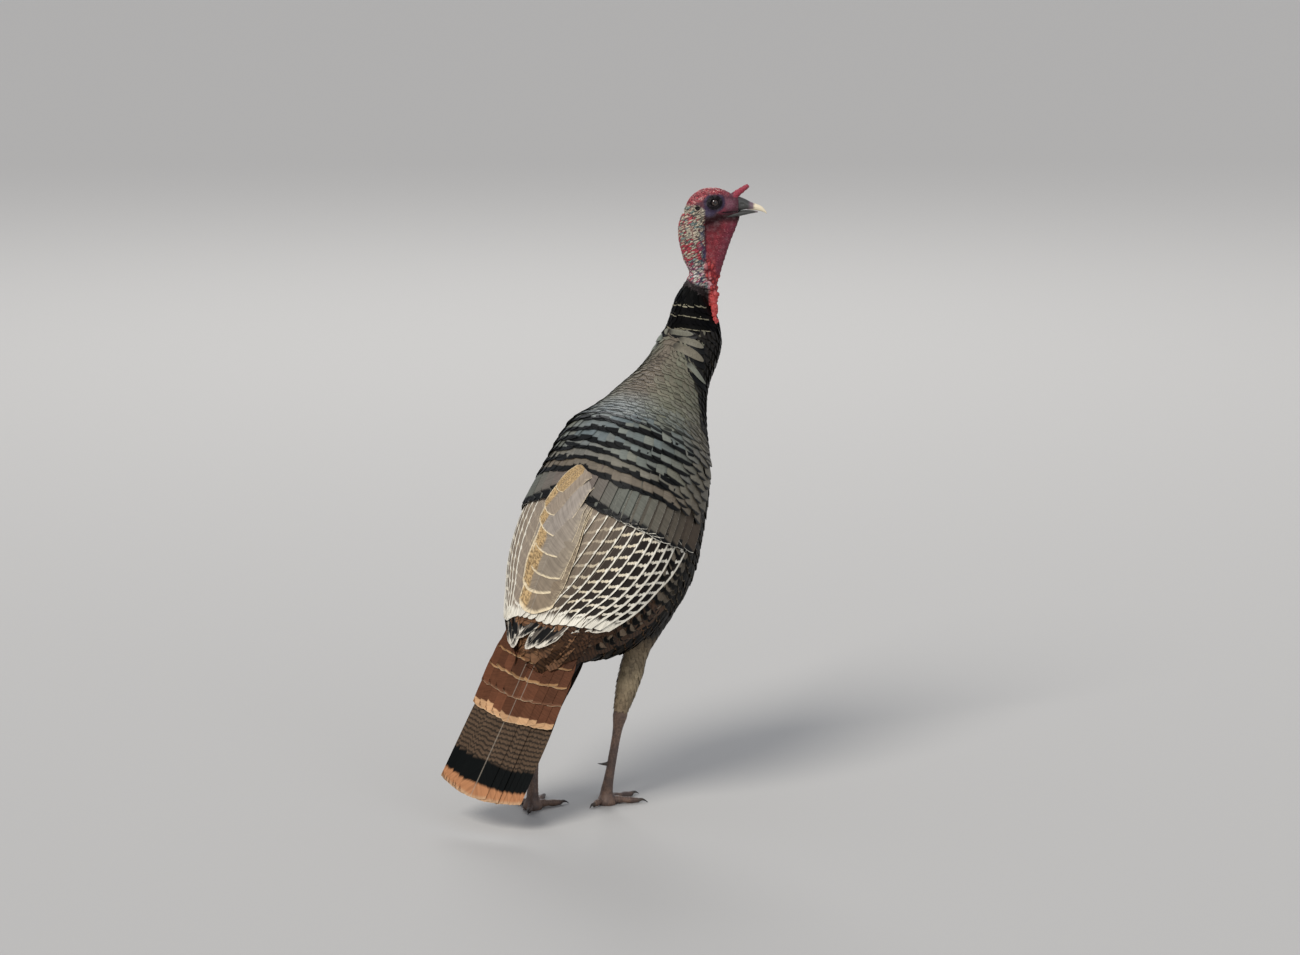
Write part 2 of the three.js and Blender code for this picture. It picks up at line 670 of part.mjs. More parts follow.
// A limb between two points: rows of [share, radius across, radius fore and aft].
function limb(from, to, rows, steps, sides, grow = 0) {
  const [a, b] = [at3(from), at3(to)];
  const way = b.clone().sub(a).normalize();
  const side = new THREE.Vector3(1, 0, 0).addScaledVector(way, -way.x).normalize();
  const fore = new THREE.Vector3().crossVectors(way, side);
  return tube(steps, sides, (share, angle, rim) => {
    const [, wide, deep] = between(rows, share);
    const end = share === 1 ? grow : share === 0 ? -grow : 0;
    return a
      .clone()
      .lerp(b, share)
      .addScaledVector(way, end)
      .addScaledVector(side, Math.sin(radians(angle)) * (wide + grow) * rim)
      .addScaledVector(fore, Math.cos(radians(angle)) * (deep + grow) * rim);
  });
}
const THIGH = [
  [0, 44, 56],
  [0.25, 36, 46],
  [0.45, 23, 28],
  [0.58, 17, 20],
  [0.7, 18, 20],
  [0.85, 16, 17.5],
  [0.94, 13, 14.5],
  [1, 10.5, 12],
];
const SHANK = [
  [0, 10.5, 11.5],
  [0.08, 11, 12],
  [0.22, 7.6, 8.6],
  [0.6, 6.6, 7.6],
  [0.88, 8, 8.4],
  [1, 10.5, 9],
];

// The spur stands back and inwards from the shank.
const SPUR_SHARE = 0.66;
const SPUR_LENGTH = 17;
function spur(leg, side) {
  const root = at3(leg.hock).lerp(at3(leg.ankle), SPUR_SHARE);
  const way = new THREE.Vector3(-0.5 * side, 0.84, -0.12).normalize();
  return tube(3, 7, (share, angle, rim) => {
    const r = lerp(5, 0.6, share ** 0.7) * rim;
    const [s, c] = [Math.sin(radians(angle)), Math.cos(radians(angle))];
    return root
      .clone()
      .addScaledVector(way, 3 + share * (SPUR_LENGTH + 3))
      .add(new THREE.Vector3(s * r, 0, c * r + 3.5 * share * share));
  });
}

// Toes: length, heading from the foot's own, and thickness at the root.
const TOES = {
  middle: { length: 84, turn: 0, thick: 7.4 },
  inner: { length: 66, turn: 46, thick: 6.8 },
  outer: { length: 66, turn: -44, thick: 6.6 },
  hind: { length: 40, turn: 176, thick: 5.4 },
};
const CLAW_SHARE = 0.24; // of a toe's length

function toe(leg, side, spec, part) {
  const base = at3([leg.ankle[0], leg.ankle[1], 0]);
  const heading = radians(leg.yaw * side + spec.turn * -side);
  const way = new THREE.Vector3(Math.sin(heading) * side * side, -Math.cos(heading), 0);
  const across = new THREE.Vector3(-way.y, way.x, 0);
  const [from, to] = part === "claw" ? [1 - CLAW_SHARE, 1] : [0, 1 - CLAW_SHARE];
  const gap = part === "claw" ? GAP : 0;
  return tube(part === "claw" ? 3 : 5, 6, (share, angle, rim) => {
    const d = lerp(from, to, share);
    const [s, c] = [Math.sin(radians(angle)) * rim, Math.cos(radians(angle)) * rim];
    const knuckle = 1 + 0.1 * Math.cos(d * 22);
    const r = part === "claw" ? lerp(3.9, 0.7, share ** 0.8) : lerp(spec.thick, 4.5, d / to) * knuckle;
    const middle = part === "claw" ? lerp(4.1, 0.9, share ** 1.4) : lerp(spec.thick * 1.05, 4.4, d / to);
    const arch = part === "claw" ? 2.4 * Math.sin(Math.PI * share) : 0;
    const rise = spec.turn > 90 ? 10 * (1 - d) ** 2 : 3 * (1 - d) ** 3;
    const z = Math.max(0, middle + arch + rise + c * r);
    return base
      .clone()
      .addScaledVector(way, d * spec.length + gap)
      .addScaledVector(across, s * r)
      .setZ(z);
  });
}

function foot(leg, side) {
  const toes = Object.values(TOES).map((spec) => toe(leg, side, spec, "toe"));
  const pad = tube(5, 12, (share, angle, rim) => {
    const [s, c] = [Math.sin(radians(angle)) * rim, Math.cos(radians(angle)) * rim];
    const r = [15, 16, 14.5, 12, 10.5, 9.6][Math.round(share * 5)];
    return at3([leg.ankle[0] + s * r, leg.ankle[1] + c * r, lerp(0, leg.ankle[2], share)]);
  });
  return join([pad, ...toes]);
}

// ---------- beard ----------
// A tuft of stiff bristles that hangs from the middle of the breast.
function beard() {
  const locks = [];
  const top = skinFrame(438, 180);
  for (let i = 0; i < 6; i++) {
    const k = i / 5 - 0.5;
    const length = 132 - 34 * Math.abs(k);
    locks.push(
      tube(4, 4, (share, angle, rim) => {
        const r = lerp(4.2, 0.9, share) * rim;
        const fall = share * length;
        return top.here
          .clone()
          .addScaledVector(top.out, -6 + 18 * Math.sin(Math.min(1, share * 1.6) * 1.4))
          .add(new THREE.Vector3(k * lerp(12, 30, share) + Math.sin(radians(angle)) * r, 0, -fall))
          .addScaledVector(top.out, Math.cos(radians(angle)) * r);
      }),
    );
  }
  return join(locks);
}

// ---------- assembly ----------
const torsoGrown = torso(GAP);
const tailGrown = tail(GAP);
const wingsGrown = join([wing(1, GAP), wing(-1, GAP)]);

add("torso", torso(0), FEATHER_BRONZE);
add("tail", tail().subtract(torsoGrown), FEATHER_TAIL);
add("wing_left", wing(1).subtract(torsoGrown).subtract(tailGrown).subtract(wing(-1, GAP)), FEATHER_WING);
add("wing_right", wing(-1).subtract(torsoGrown).subtract(tailGrown), FEATHER_WING);

// Neck and head are one form, parted by thin cuts.
const bareLine = inHead(14, 0, -130); // the feathers end on a plane that slopes down to the front
const bareUp = headForward.clone().multiplyScalar(1.2).add(new THREE.Vector3(0, 0, 1)).normalize();
const headLine = inHead(8, 0, -34);
const headUp = headForward.clone().multiplyScalar(0.55).add(new THREE.Vector3(0, 0, 1)).normalize();
function above(piece, point, way, gap) {
  return piece.trimByPlane(way.toArray(), point.dot(way) + gap / 2);
}
function below(piece, point, way, gap) {
  return piece.trimByPlane(way.clone().negate().toArray(), -point.dot(way) + gap / 2);
}

const feathered = { from: NECK_CUT + GAP / 2, to: 736, rows: 14, sides: 20 };
const bare = { from: BARE_FROM, to: NECK_TOP, rows: Math.round(BARE_ROWS), sides: 16, fold: FOLD_HEIGHT };
const neckFeathered = below(neck(feathered), bareLine, bareUp, GAP);
const neckSkin = above(join([neck(bare), ...caruncles()]), bareLine, bareUp, GAP);
const neckBare = below(neckSkin, headLine, headUp, GAP);
const billGrown = join([headForm(BILL_UPPER, 8, 12, GAP), headForm(BILL_LOWER, 7, 10, GAP), snood(GAP)]);
const skullForm = join([
  headForm(SKULL, 12, 18),
  lids(1),
  lids(-1),
  ear(1),
  ear(-1),
  neck({ from: 748, to: NECK_TOP, rows: 4, sides: 18 }),
]);
const eyes = { left: ball(eyeCentre(1), EYE_RADIUS), right: ball(eyeCentre(-1), EYE_RADIUS) };
const headCut = join([
  billGrown,
  ball(eyeCentre(1), EYE_RADIUS + GAP),
  ball(eyeCentre(-1), EYE_RADIUS + GAP),
  gape(),
]);
const head = above(skullForm, headLine, headUp, GAP).subtract(headCut);

add("neck_feathered", neckFeathered, FEATHER_BLACK);
add("neck_bare", neckBare, SKIN_PALE);
add("head", head, SKIN_RED);
const upperCut = join([headForm(BILL_LOWER, 7, 10, GAP), nostril(1), nostril(-1)]);
add("bill_upper", headForm(BILL_UPPER, 8, 12).subtract(upperCut), HORN);
add("bill_lower", headForm(BILL_LOWER, 7, 10), HORN_DARK);
add("snood", snood().subtract(headForm(BILL_UPPER, 8, 12, GAP)), SKIN_RED);
add("eye_left", eyes.left, EYE);
add("eye_right", eyes.right, EYE);
const neckGrown = join([
  neck({ grow: GAP * 2 + FOLD_HEIGHT, from: 620, to: NECK_TOP, rows: 15, sides: 16 }),
  ...caruncles(GAP * 1.6),
]);
const skullGrown = join([headForm(SKULL, 12, 18, GAP), billGrown]);
add("throat_wattle", join([throat(), ...wattleKnobs()]).subtract(neckGrown).subtract(skullGrown), SKIN_RED);

for (const side of ["left", "right"]) {
  const leg = LEGS[side];
  const way = side === "left" ? 1 : -1;
  const thigh = limb(leg.hip, leg.hock, THIGH, 7, 14);
  const shank = join([limb(leg.hock, leg.ankle, SHANK, 7, 10), spur(leg, way)]);
  const shankGrown = limb(leg.hock, leg.ankle, SHANK, 7, 10, GAP);
  add(`thigh_${side}`, thigh.subtract(torsoGrown).subtract(wingsGrown).subtract(shankGrown), FEATHER_BLACK);
  add(`shank_${side}`, shank.trimByPlane([0, 0, 1], leg.ankle[2] + GAP), LEG);
  add(`foot_${side}`, foot(leg, way).trimByPlane([0, 0, -1], -leg.ankle[2]), LEG);
  for (const [name, spec] of Object.entries(TOES))
    add(`claw_${name}_${side}`, toe(leg, way, spec, "claw"), HORN_DARK);
}
add("beard", beard().subtract(torsoGrown), FEATHER_BLACK);

// The origin is on the floor, under the middle of the bird's box.
const box = new THREE.Box3().setFromObject(group);
const middle = box.getCenter(new THREE.Vector3());
group.position.set(-middle.x, -middle.y, -box.min.z);

export default group;
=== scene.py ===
import math
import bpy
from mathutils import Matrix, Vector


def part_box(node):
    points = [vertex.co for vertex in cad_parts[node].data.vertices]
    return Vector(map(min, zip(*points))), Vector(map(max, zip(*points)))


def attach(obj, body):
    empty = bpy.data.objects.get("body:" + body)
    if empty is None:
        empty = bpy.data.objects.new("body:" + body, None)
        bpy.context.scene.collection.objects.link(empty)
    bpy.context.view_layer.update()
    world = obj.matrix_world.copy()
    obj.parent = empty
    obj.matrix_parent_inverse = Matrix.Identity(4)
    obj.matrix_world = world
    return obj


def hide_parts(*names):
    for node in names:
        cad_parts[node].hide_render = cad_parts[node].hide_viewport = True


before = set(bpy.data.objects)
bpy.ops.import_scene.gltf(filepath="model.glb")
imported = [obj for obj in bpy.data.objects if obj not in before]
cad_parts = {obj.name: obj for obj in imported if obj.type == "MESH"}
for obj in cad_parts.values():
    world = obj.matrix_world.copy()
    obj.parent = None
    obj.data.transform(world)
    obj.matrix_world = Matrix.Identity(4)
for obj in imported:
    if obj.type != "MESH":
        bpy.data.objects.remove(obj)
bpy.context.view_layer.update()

from types import SimpleNamespace

import bmesh
import bpy
import numpy as np
from bpy.props import FloatProperty, FloatVectorProperty, PointerProperty
from mathutils import Vector, noise

bl_info = {
    "name": "Wild Turkey Gobbler",
    "blender": (4, 5, 0),
    "version": (1, 0, 0),
    "location": "View3D > Sidebar > Turkey",
    "description": "Builds a life-size wild turkey: skin, feather coat, wings, tail, head and feet",
    "category": "Object",
}

# ---------------------------------------------------------------- the bird's shape, in mm
# Body and neck are one swept form. Each row: forward, height, half width, reach to the back
# and to the belly, and the neck's turn to the right in degrees.
STATIONS = np.array(
    [
        (-100, 250, 30, 6, 20, 0),
        (-63, 290, 84, 39, 66, 0),
        (-12, 338, 128, 68, 116, 0),
        (29, 394, 146, 88, 147, 0),
        (66, 452, 144, 99, 150, 0),
        (108, 508, 136, 106, 121, 0),
        (143, 560, 124, 102, 87, 0),
        (176, 610, 93, 73, 60, 0),
        (219, 668, 59, 52, 38, 0),
        (253, 728, 49, 38, 37, 8),
        (257, 790, 27, 38, 32, 22),
        (268, 834, 14, 22, 20, 34),
        (260, 866, 20, 25, 21, 40),
        (254, 908, 22.5, 25, 23, 45),
        (257, 945, 12, 14, 16, 45),
    ],
    float,
)
SIDES = {"left": 1.0, "right": -1.0}
ROUNDNESS = 2.3
TAIL_ROOT = np.array((0.0, 80.0, 278.0))
TAIL_TIP = np.array((12.0, 218.0, 52.0))
TAIL_ROLL = -12.0
TAIL_ROOF = 0.0013
TAIL_HALF = (56.0, 60.0)  # half width of the fan at the root and at the tip
HEAD_TURN = 45.0
HEAD_BASE = (250.0, 950.0)
# The ridge where the folded wings meet: place along the body, angle to the left.
RIDGE = np.array(
    [(40, 32), (76, 24), (108, 15), (159, 8), (202, 4), (239, 2), (300, 0), (440, 0)], float
)


def ease(x, low, high):
    """Smooth step from 0 at low to 1 at high."""
    s = np.clip((np.asarray(x, float) - low) / (high - low), 0, 1)
    return s * s * (3 - 2 * s)


def mix(a, b, share):
    """Linear mix of two numbers, rows or colours."""
    return a + (b - a) * share


def between(rows, at):
    """Smooth values between rows by their first column, straight on before the first one."""
    x = rows[:, 0]
    step = np.diff(rows, axis=0) / np.diff(x)[:, None]
    slope = np.vstack([step[:1], (step[1:] + step[:-1]) / 2, step[-1:]])
    at = np.asarray(at, float)
    i = np.clip(np.searchsorted(x, at, side="right") - 1, 0, len(x) - 2)
    width = (x[i + 1] - x[i])[..., None]
    s = np.clip((at - x[i])[..., None] / width, 0, 1)
    out = (2 * s**3 - 3 * s**2 + 1) * rows[i] + (s**3 - 2 * s**2 + s) * width * slope[i]
    out += (3 * s**2 - 2 * s**3) * rows[i + 1] + (s**3 - s**2) * width * slope[i + 1]
    low = (at < x[0])[..., None]
    return np.where(low, rows[0] + slope[0] * (at - x[0])[..., None], out)


FRAME_WIDTH = 1300.0
CAMERA_FOCUS = 4187.0  # in pixels of the frame's width, as is the shift
CAMERA_SHIFT = -44.5
CAMERA_PLACE = (-4.6626, 4.5048, 1.65)
CAMERA_TURN = 45.0
CAMERA_DOWN = 9.166

ARC = np.concatenate([[0], np.cumsum(np.hypot(*np.diff(STATIONS[:, :2], axis=0).T))])
BODY = np.column_stack([ARC, STATIONS])
BODY_END = ARC[-1]


UP = np.array((0.0, 0.0, 1.0))


def unit(v):
    """Vectors of length 1."""
    return v / np.maximum(np.linalg.norm(v, axis=-1, keepdims=True), 1e-9)


def body_frame(along):
    """Centre, tangent, left and back of the body's section, and its measures."""
    along = np.asarray(along, float)
    row = between(BODY, along)
    ahead = between(BODY, np.minimum(along + 1, BODY_END)) - between(BODY, np.maximum(along - 1, 0))
    zero = np.zeros_like(along)
    tangent = unit(np.stack([zero, -ahead[..., 1], ahead[..., 2]], -1))
    left = np.stack([zero + 1, zero, zero], -1)
    back = np.cross(tangent, left)
    turn = np.radians(row[..., 6])[..., None]
    return {
        "centre": np.stack([zero, -row[..., 1], row[..., 2]], -1),
        "tangent": tangent,
        "left": left * np.cos(turn) + back * np.sin(turn),
        "back": back * np.cos(turn) - left * np.sin(turn),
        "half": row[..., 3],
        "reach": (row[..., 4], row[..., 5]),
    }


def skin(along, angle):
    """A point of the body's surface. Angle 0 is the back's middle, 90 the left side."""
    along, angle = np.broadcast_arrays(np.asarray(along, float), np.asarray(angle, float))
    f = body_frame(along)
    s, c = np.sin(np.radians(angle)), np.cos(np.radians(angle))
    bulge = lambda x: np.sign(x) * np.abs(x) ** (2 / ROUNDNESS)
    reach = np.where(c > 0, f["reach"][0], f["reach"][1])
    return (
        f["centre"]
        + f["left"] * (bulge(s) * f["half"])[..., None]
        + f["back"] * (bulge(c) * reach)[..., None]
    )


def skin_frame(along, angle):
    """The surface point, its steps for one unit along and round, and the way out."""
    here = skin(along, angle)
    ahead = (skin(along + 1, angle) - skin(along - 1, angle)) / 2
    around = (skin(along, angle + 1.0) - skin(along, angle - 1.0)) / 2
    out = unit(np.cross(ahead, around))
    flip = np.sum(out * (here - body_frame(along)["centre"]), -1, keepdims=True) < 0
    return here, ahead, around, np.where(flip, -out, out)


tail_way = unit(TAIL_TIP - TAIL_ROOT)
_up = unit(np.array((0.0, 1.0, 0.0)) - tail_way * tail_way[1])
_roll = math.radians(TAIL_ROLL)
tail_up = _up * math.cos(_roll) + np.cross(tail_way, _up) * math.sin(_roll)
tail_side = np.cross(tail_up, tail_way)
TAIL_LENGTH = float(np.linalg.norm(TAIL_TIP - TAIL_ROOT))


def in_tail(d, x, high):
    """A point of the tail: distance from its root, to its left, above its roof."""
    d, x, high = (np.asarray(v, float)[..., None] for v in np.broadcast_arrays(d, x, high))
    return TAIL_ROOT + tail_way * d + tail_side * x + tail_up * (high - TAIL_ROOF * x * x)


_turn = math.radians(HEAD_TURN)
head_forward = np.array((-math.sin(_turn), -math.cos(_turn), 0.0))
head_left = np.cross(UP, head_forward)


def in_head(forward, left, up):
    """A point in the head's own frame."""
    forward, left, up = (np.asarray(v, float)[..., None] for v in np.broadcast_arrays(forward, left, up))
    base = np.array((0.0, -HEAD_BASE[0], HEAD_BASE[1]))
    return base + head_forward * forward + head_left * left + UP * up


def head_places(points):
    """Forward, left and up of points in the head's own frame."""
    rel = points - in_head(0, 0, 0)
    return rel @ head_forward, rel @ head_left, rel[:, 2]


EYE_AT = (37.5, 15.2, 0.0)
EAR_AT = (11.0, 20.9, -9.5)
EYE_RADIUS = 7.2
_low, _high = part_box("eye_left")
SHIFT = (np.array(_low) + np.array(_high)) / 2 - in_head(EYE_AT[0], EYE_AT[1], EYE_AT[2]) / 1000


def metres(points):
    """Bird millimetres to the part's own frame in metres."""
    return np.asarray(points) / 1000 + SHIFT


# ---------------------------------------------------------------- meshes
def add_object(name, data):
    """A new object in the scene."""
    obj = bpy.data.objects.new(name, data)
    bpy.context.scene.collection.objects.link(obj)
    return obj


def evaluated_mesh(obj):
    """The mesh that an object's modifiers make."""
    bpy.context.view_layer.update()
    graph = bpy.context.evaluated_depsgraph_get()
    return bpy.data.meshes.new_from_object(obj.evaluated_get(graph), depsgraph=graph)


def mesh_object(name, points, faces, materials=(), smooth=True):
    """A new mesh object from metres and faces."""
    mesh = bpy.data.meshes.new(name)
    mesh.from_pydata([tuple(p) for p in points], [], [tuple(f) for f in faces])
    mesh.validate()
    if smooth:
        mesh.shade_smooth()
    for material in materials:
        mesh.materials.append(material)
    return add_object(name, mesh)


def sweep(rings, close_ends=True):
    """Points and faces of a closed tube through rings of points, shaped (rows, sides, 3)."""
    rows, sides = rings.shape[:2]
    points = list(rings.reshape(-1, 3))
    at = lambda r, s: r * sides + s % sides
    faces = [
        (at(r, s), at(r, s + 1), at(r + 1, s + 1), at(r + 1, s))
        for r in range(rows - 1)
        for s in range(sides)
    ]
    if close_ends:
        for r, order in ((0, -1), (rows - 1, 1)):
            points.append(rings[r].mean(0))
            hub = len(points) - 1
            for s in range(sides):
                pair = (at(r, s), at(r, s + 1))[::order]
                faces.append((pair[0], pair[1], hub))
    return np.array(points), faces


def faces_out(obj):
    """Turns a closed mesh's faces outwards."""
    bm = bmesh.new()
    bm.from_mesh(obj.data)
    bmesh.ops.recalc_face_normals(bm, faces=bm.faces[:])
    bm.to_mesh(obj.data)
    bm.free()


def put_attributes(mesh, **fields):
    """Stores a number or a row of three for each vertex, by name."""
    for name, values in fields.items():
        kind, field = ("FLOAT_VECTOR", "vector") if np.ndim(values) == 2 else ("FLOAT", "value")
        attribute = mesh.attributes.new(name, kind, "POINT")
        attribute.data.foreach_set(field, np.asarray(values, np.float32).ravel())


def closed_piece(name, points, faces, kind, **fields):
    """A closed mesh in its material, from millimetres, with values for each vertex."""
    obj = mesh_object(name, metres(points), faces, [material(kind)])
    put_attributes(obj.data, **fields)
    faces_out(obj)
    return obj


def get_attribute(mesh, name, width):
    """Reads a per-vertex attribute."""
    attribute = mesh.attributes[name]
    values = np.zeros(len(mesh.vertices) * width, np.float32)
    attribute.data.foreach_get("value" if width == 1 else "vector", values)
    return values.reshape(-1, width) if width > 1 else values


# ---------------------------------------------------------------- node helpers
class Value:
    """A node's output to reckon with: each sign adds a math node."""

    def __init__(self, nodes, socket):
        self.nodes, self.socket = nodes, socket

    def __add__(self, other):
        return self.nodes.math("ADD", self, other)

    def __sub__(self, other):
        return self.nodes.math("SUBTRACT", self, other)

    def __rsub__(self, other):
        return self.nodes.math("SUBTRACT", other, self)

    def __mul__(self, other):
        return self.nodes.math("MULTIPLY", self, other)

    def __abs__(self):
        return self.nodes.math("ABSOLUTE", self)

    __radd__, __rmul__ = __add__, __mul__


class Nodes:
    """Adds nodes to a tree and links them by name."""

    def __init__(self, tree):
        self.tree = tree

    def add(self, kind, _settings=None, **inputs):
        """A node with settings, and inputs by name (underscores for spaces) or index."""
        node = self.tree.nodes.new(kind)
        for key, value in (_settings or {}).items():
            setattr(node, key, value)
        for key, value in inputs.items():
            self.feed(node, key, value)
        return node

    def feed(self, node, key, value):
        """Links or sets one input. Keys such as _0 give an input by its index."""
        socket = node.inputs[int(key[1:])] if key[0] == "_" else node.inputs[key.replace("_", " ")]
        if isinstance(value, Value):
            value = value.socket
        elif isinstance(value, bpy.types.Node):
            value = first_output(value)
        if isinstance(value, bpy.types.NodeSocket):
            self.tree.links.new(value, socket)
        else:
            socket.default_value = value

    def math(self, operation, a, b=0.0):
        """A math node's value."""
        return Value(self, self.add("ShaderNodeMath", {"operation": operation}, _0=a, _1=b).outputs[0])

    def least(self, a, b):
        """The smaller of two values."""
        return self.math("MINIMUM", a, b)

    def most(self, a, b):
        """The larger of two values."""
        return self.math("MAXIMUM", a, b)

    def smooth(self, value, low, high, to=(0.0, 1.0)):
        """A smooth step."""
        inputs = {"_0": value, "_1": low, "_2": high, "_3": to[0], "_4": to[1]}
        node = self.add("ShaderNodeMapRange", {"interpolation_type": "SMOOTHSTEP"}, **inputs)
        return Value(self, first_output(node))

    def blend(self, share, a, b):
        """A colour mix."""
        node = self.add("ShaderNodeMix", {"data_type": "RGBA"}, _0=share, _6=a, _7=b)
        return node.outputs[2]

    def vector(self, x=0.0, y=0.0, z=0.0):
        """A vector of three values."""
        return self.add("ShaderNodeCombineXYZ", X=x, Y=y, Z=z)

    def noise(self, vector, scale, detail, **settings):
        """Smooth noise round 0.5."""
        node = self.add("ShaderNodeTexNoise", settings, Vector=vector, Scale=scale, Detail=detail)
        return Value(self, node.outputs["Fac"])

    def field(self, name, output="Fac"):
        """An attribute of the piece."""
        return Value(self, self.add("ShaderNodeAttribute", {"attribute_name": name}).outputs[output])

    def place(self):
        """The piece's own coordinates."""
        return self.add("ShaderNodeTexCoord").outputs["Object"]

    def bump(self, shader, height, distance, strength):
        """Fine relief for a shader."""
        node = self.add("ShaderNodeBump", Height=height, Distance=distance, Strength=strength)
        self.feed(shader, "Normal", node)


def first_output(node):
    """The output a link takes when only the node is named."""
    return next(o for o in node.outputs if o.enabled)


def rgb(r, g, b):
    """A named colour from 0-255 screen values, as linear light."""
    return np.array([((v / 255 + 0.055) / 1.055) ** 2.4 if v > 10 else v / 255 / 12.92 for v in (r, g, b)])


def rgba(color):
    """A colour with alpha."""
    return (*color[:3], 1.0)


# ---------------------------------------------------------------- feathers
# Inputs of the vane's node group: name, kind and value.
VANE_INPUTS = (
    ("Points per guide", "Int", 4),
    ("Columns", "Int", 6),
    ("Rows", "Int", 8),
    ("Root width", "Float", 0.45),
    ("Tip width", "Float", 0.8),
    ("Tip round", "Float", 0.2),
    ("Ragged", "Float", 0.03),
    ("Camber", "Float", 0.12),
    ("Thickness", "Float", 0.0005),
    ("Material", "Material", None),
)


def vane_tree():
    """Geometry nodes that lay one thin closed vane along each run of guide points."""
    tree = bpy.data.node_groups.new("Feather vanes", "GeometryNodeTree")
    tree.is_modifier = True
    group_face = tree.interface
    group_face.new_socket("Geometry", in_out="INPUT", socket_type="NodeSocketGeometry")
    for name, kind, value in VANE_INPUTS:
        socket = group_face.new_socket(name, in_out="INPUT", socket_type="NodeSocket" + kind)
        if value is not None:
            socket.default_value = value
    group_face.new_socket("Geometry", in_out="OUTPUT", socket_type="NodeSocketGeometry")
    n = Nodes(tree)
    group = tree.nodes.new("NodeGroupInput")
    guides = group.outputs["Geometry"]
    given = {name: Value(n, group.outputs[name]) for name, _, _ in VANE_INPUTS}

    # the flat vane: x from -1 to 1 across, y from 0 to 1 along, closed below by a second face
    count = {"Vertices_X": given["Columns"] + 1.0, "Vertices_Y": given["Rows"] + 1.0}
    grid = n.add("GeometryNodeMeshGrid", Size_X=2.0, Size_Y=1.0, **count)
    axes = n.add("ShaderNodeSeparateXYZ", _0=n.add("GeometryNodeInputPosition"))
    x, y, z = (Value(n, axis) for axis in axes.outputs)
    inner = n.math("LESS_THAN", abs(x), 0.999) * n.math("LESS_THAN", abs(y), 0.499)
    under = n.add("GeometryNodeSetPosition", Geometry=grid, Offset=n.vector(z=inner * -0.1))
    under = n.add("GeometryNodeFlipFaces", Mesh=under)
    both = n.add("GeometryNodeJoinGeometry")
    for face in (grid, under):
        tree.links.new(first_output(face), both.inputs[0])
    vane = n.add("GeometryNodeMergeByDistance", Geometry=both, Distance=0.0005)

    def store(geometry, **fields):
        """Keeps values on the points, by name."""
        for name, value in fields.items():
            kept = {"Geometry": geometry, "Name": name, "Value": value}
            settings = {"data_type": "FLOAT", "domain": "POINT"}
            geometry = n.add("GeometryNodeStoreNamedAttribute", settings, **kept)
        return geometry

    vane = store(vane, across=x, level=y + 0.5, depth=z * 10.0, rim=1.0 - inner)

    # one vane at the first point of each guide
    rest = n.math("MODULO", n.add("GeometryNodeInputIndex"), given["Points per guide"])
    roots = n.add("GeometryNodeMeshToPoints", Mesh=guides, Selection=n.math("LESS_THAN", rest, 0.5))
    roots = store(roots, feather=n.add("GeometryNodeInputIndex"))
    placed = n.add("GeometryNodeInstanceOnPoints", Points=roots, Instance=vane)
    real = n.add("GeometryNodeRealizeInstances", Geometry=placed)

    def named(name, kind="FLOAT"):
        node = n.add("GeometryNodeInputNamedAttribute", {"data_type": kind}, Name=name)
        return Value(n, node.outputs["Attribute"])

    across, level, depth, feather = (named(key) for key in ("across", "level", "depth", "feather"))
    side_share = across * across
    # the tip is rounded, and a little torn
    torn = n.noise(n.vector(across * 3.1, feather * 3.7), 1.0, 2.0, noise_dimensions="2D")
    short = side_share * given["Tip round"] + (torn - 0.5) * given["Ragged"]
    reach = level * (1.0 - short)
    width = n.smooth(level, 0.0, 0.55, (given["Root width"], 1.0))
    width = width * n.smooth(level, 0.72, 1.0, (1.0, given["Tip width"]))

    spot = n.least(n.most(reach, 0.0), 0.9999) * (given["Points per guide"] - 1.0)
    step = n.math("FLOOR", spot)
    low = feather * given["Points per guide"] + step
    share, high = spot - step, low + 1.0

    def sample(value, kind="FLOAT_VECTOR"):
        """The guide's value at this vertex, between two of its points."""
        plain = kind == "FLOAT"
        ends = []
        for at in (low, high):
            settings = {"data_type": kind, "domain": "POINT"}
            ends.append(n.add("GeometryNodeSampleIndex", settings, Geometry=guides, Value=value, Index=at))
        node = n.add("ShaderNodeMix", {"data_type": "FLOAT" if plain else "VECTOR"}, _0=share)
        for key, end in zip(("_2", "_3") if plain else ("_4", "_5"), ends):
            n.feed(node, key, end)
        return Value(n, first_output(node))

    def plus_scaled(base, way, amount):
        """A vector, moved some way along another."""
        scaled = n.add("ShaderNodeVectorMath", {"operation": "SCALE"}, _0=way, Scale=amount)
        return n.add("ShaderNodeVectorMath", {"operation": "ADD"}, _0=base, _1=scaled)

    spine = sample(n.add("GeometryNodeInputPosition"))
    side, out = (sample(named(key, "FLOAT_VECTOR")) for key in ("side", "out"))
    half = sample(named("half"), "FLOAT")
    drop = side_share * half * (given["Camber"] * -1.0)
    moved = plus_scaled(spine, side, across * width * half)
    moved = plus_scaled(moved, out, drop + depth * given["Thickness"])
    shaped = n.add("GeometryNodeSetPosition", Geometry=real, Position=moved)
    smooth = n.add("GeometryNodeSetShadeSmooth", Geometry=shaped)
    crease = {"Selection": n.math("GREATER_THAN", named("rim"), 0.99), "Shade_Smooth": False}
    smooth = n.add("GeometryNodeSetShadeSmooth", {"domain": "EDGE"}, Geometry=smooth, **crease)
    done = n.add("GeometryNodeSetMaterial", Geometry=smooth, Material=given["Material"])
    tree.links.new(first_output(done), tree.nodes.new("NodeGroupOutput").inputs[0])
    return tree


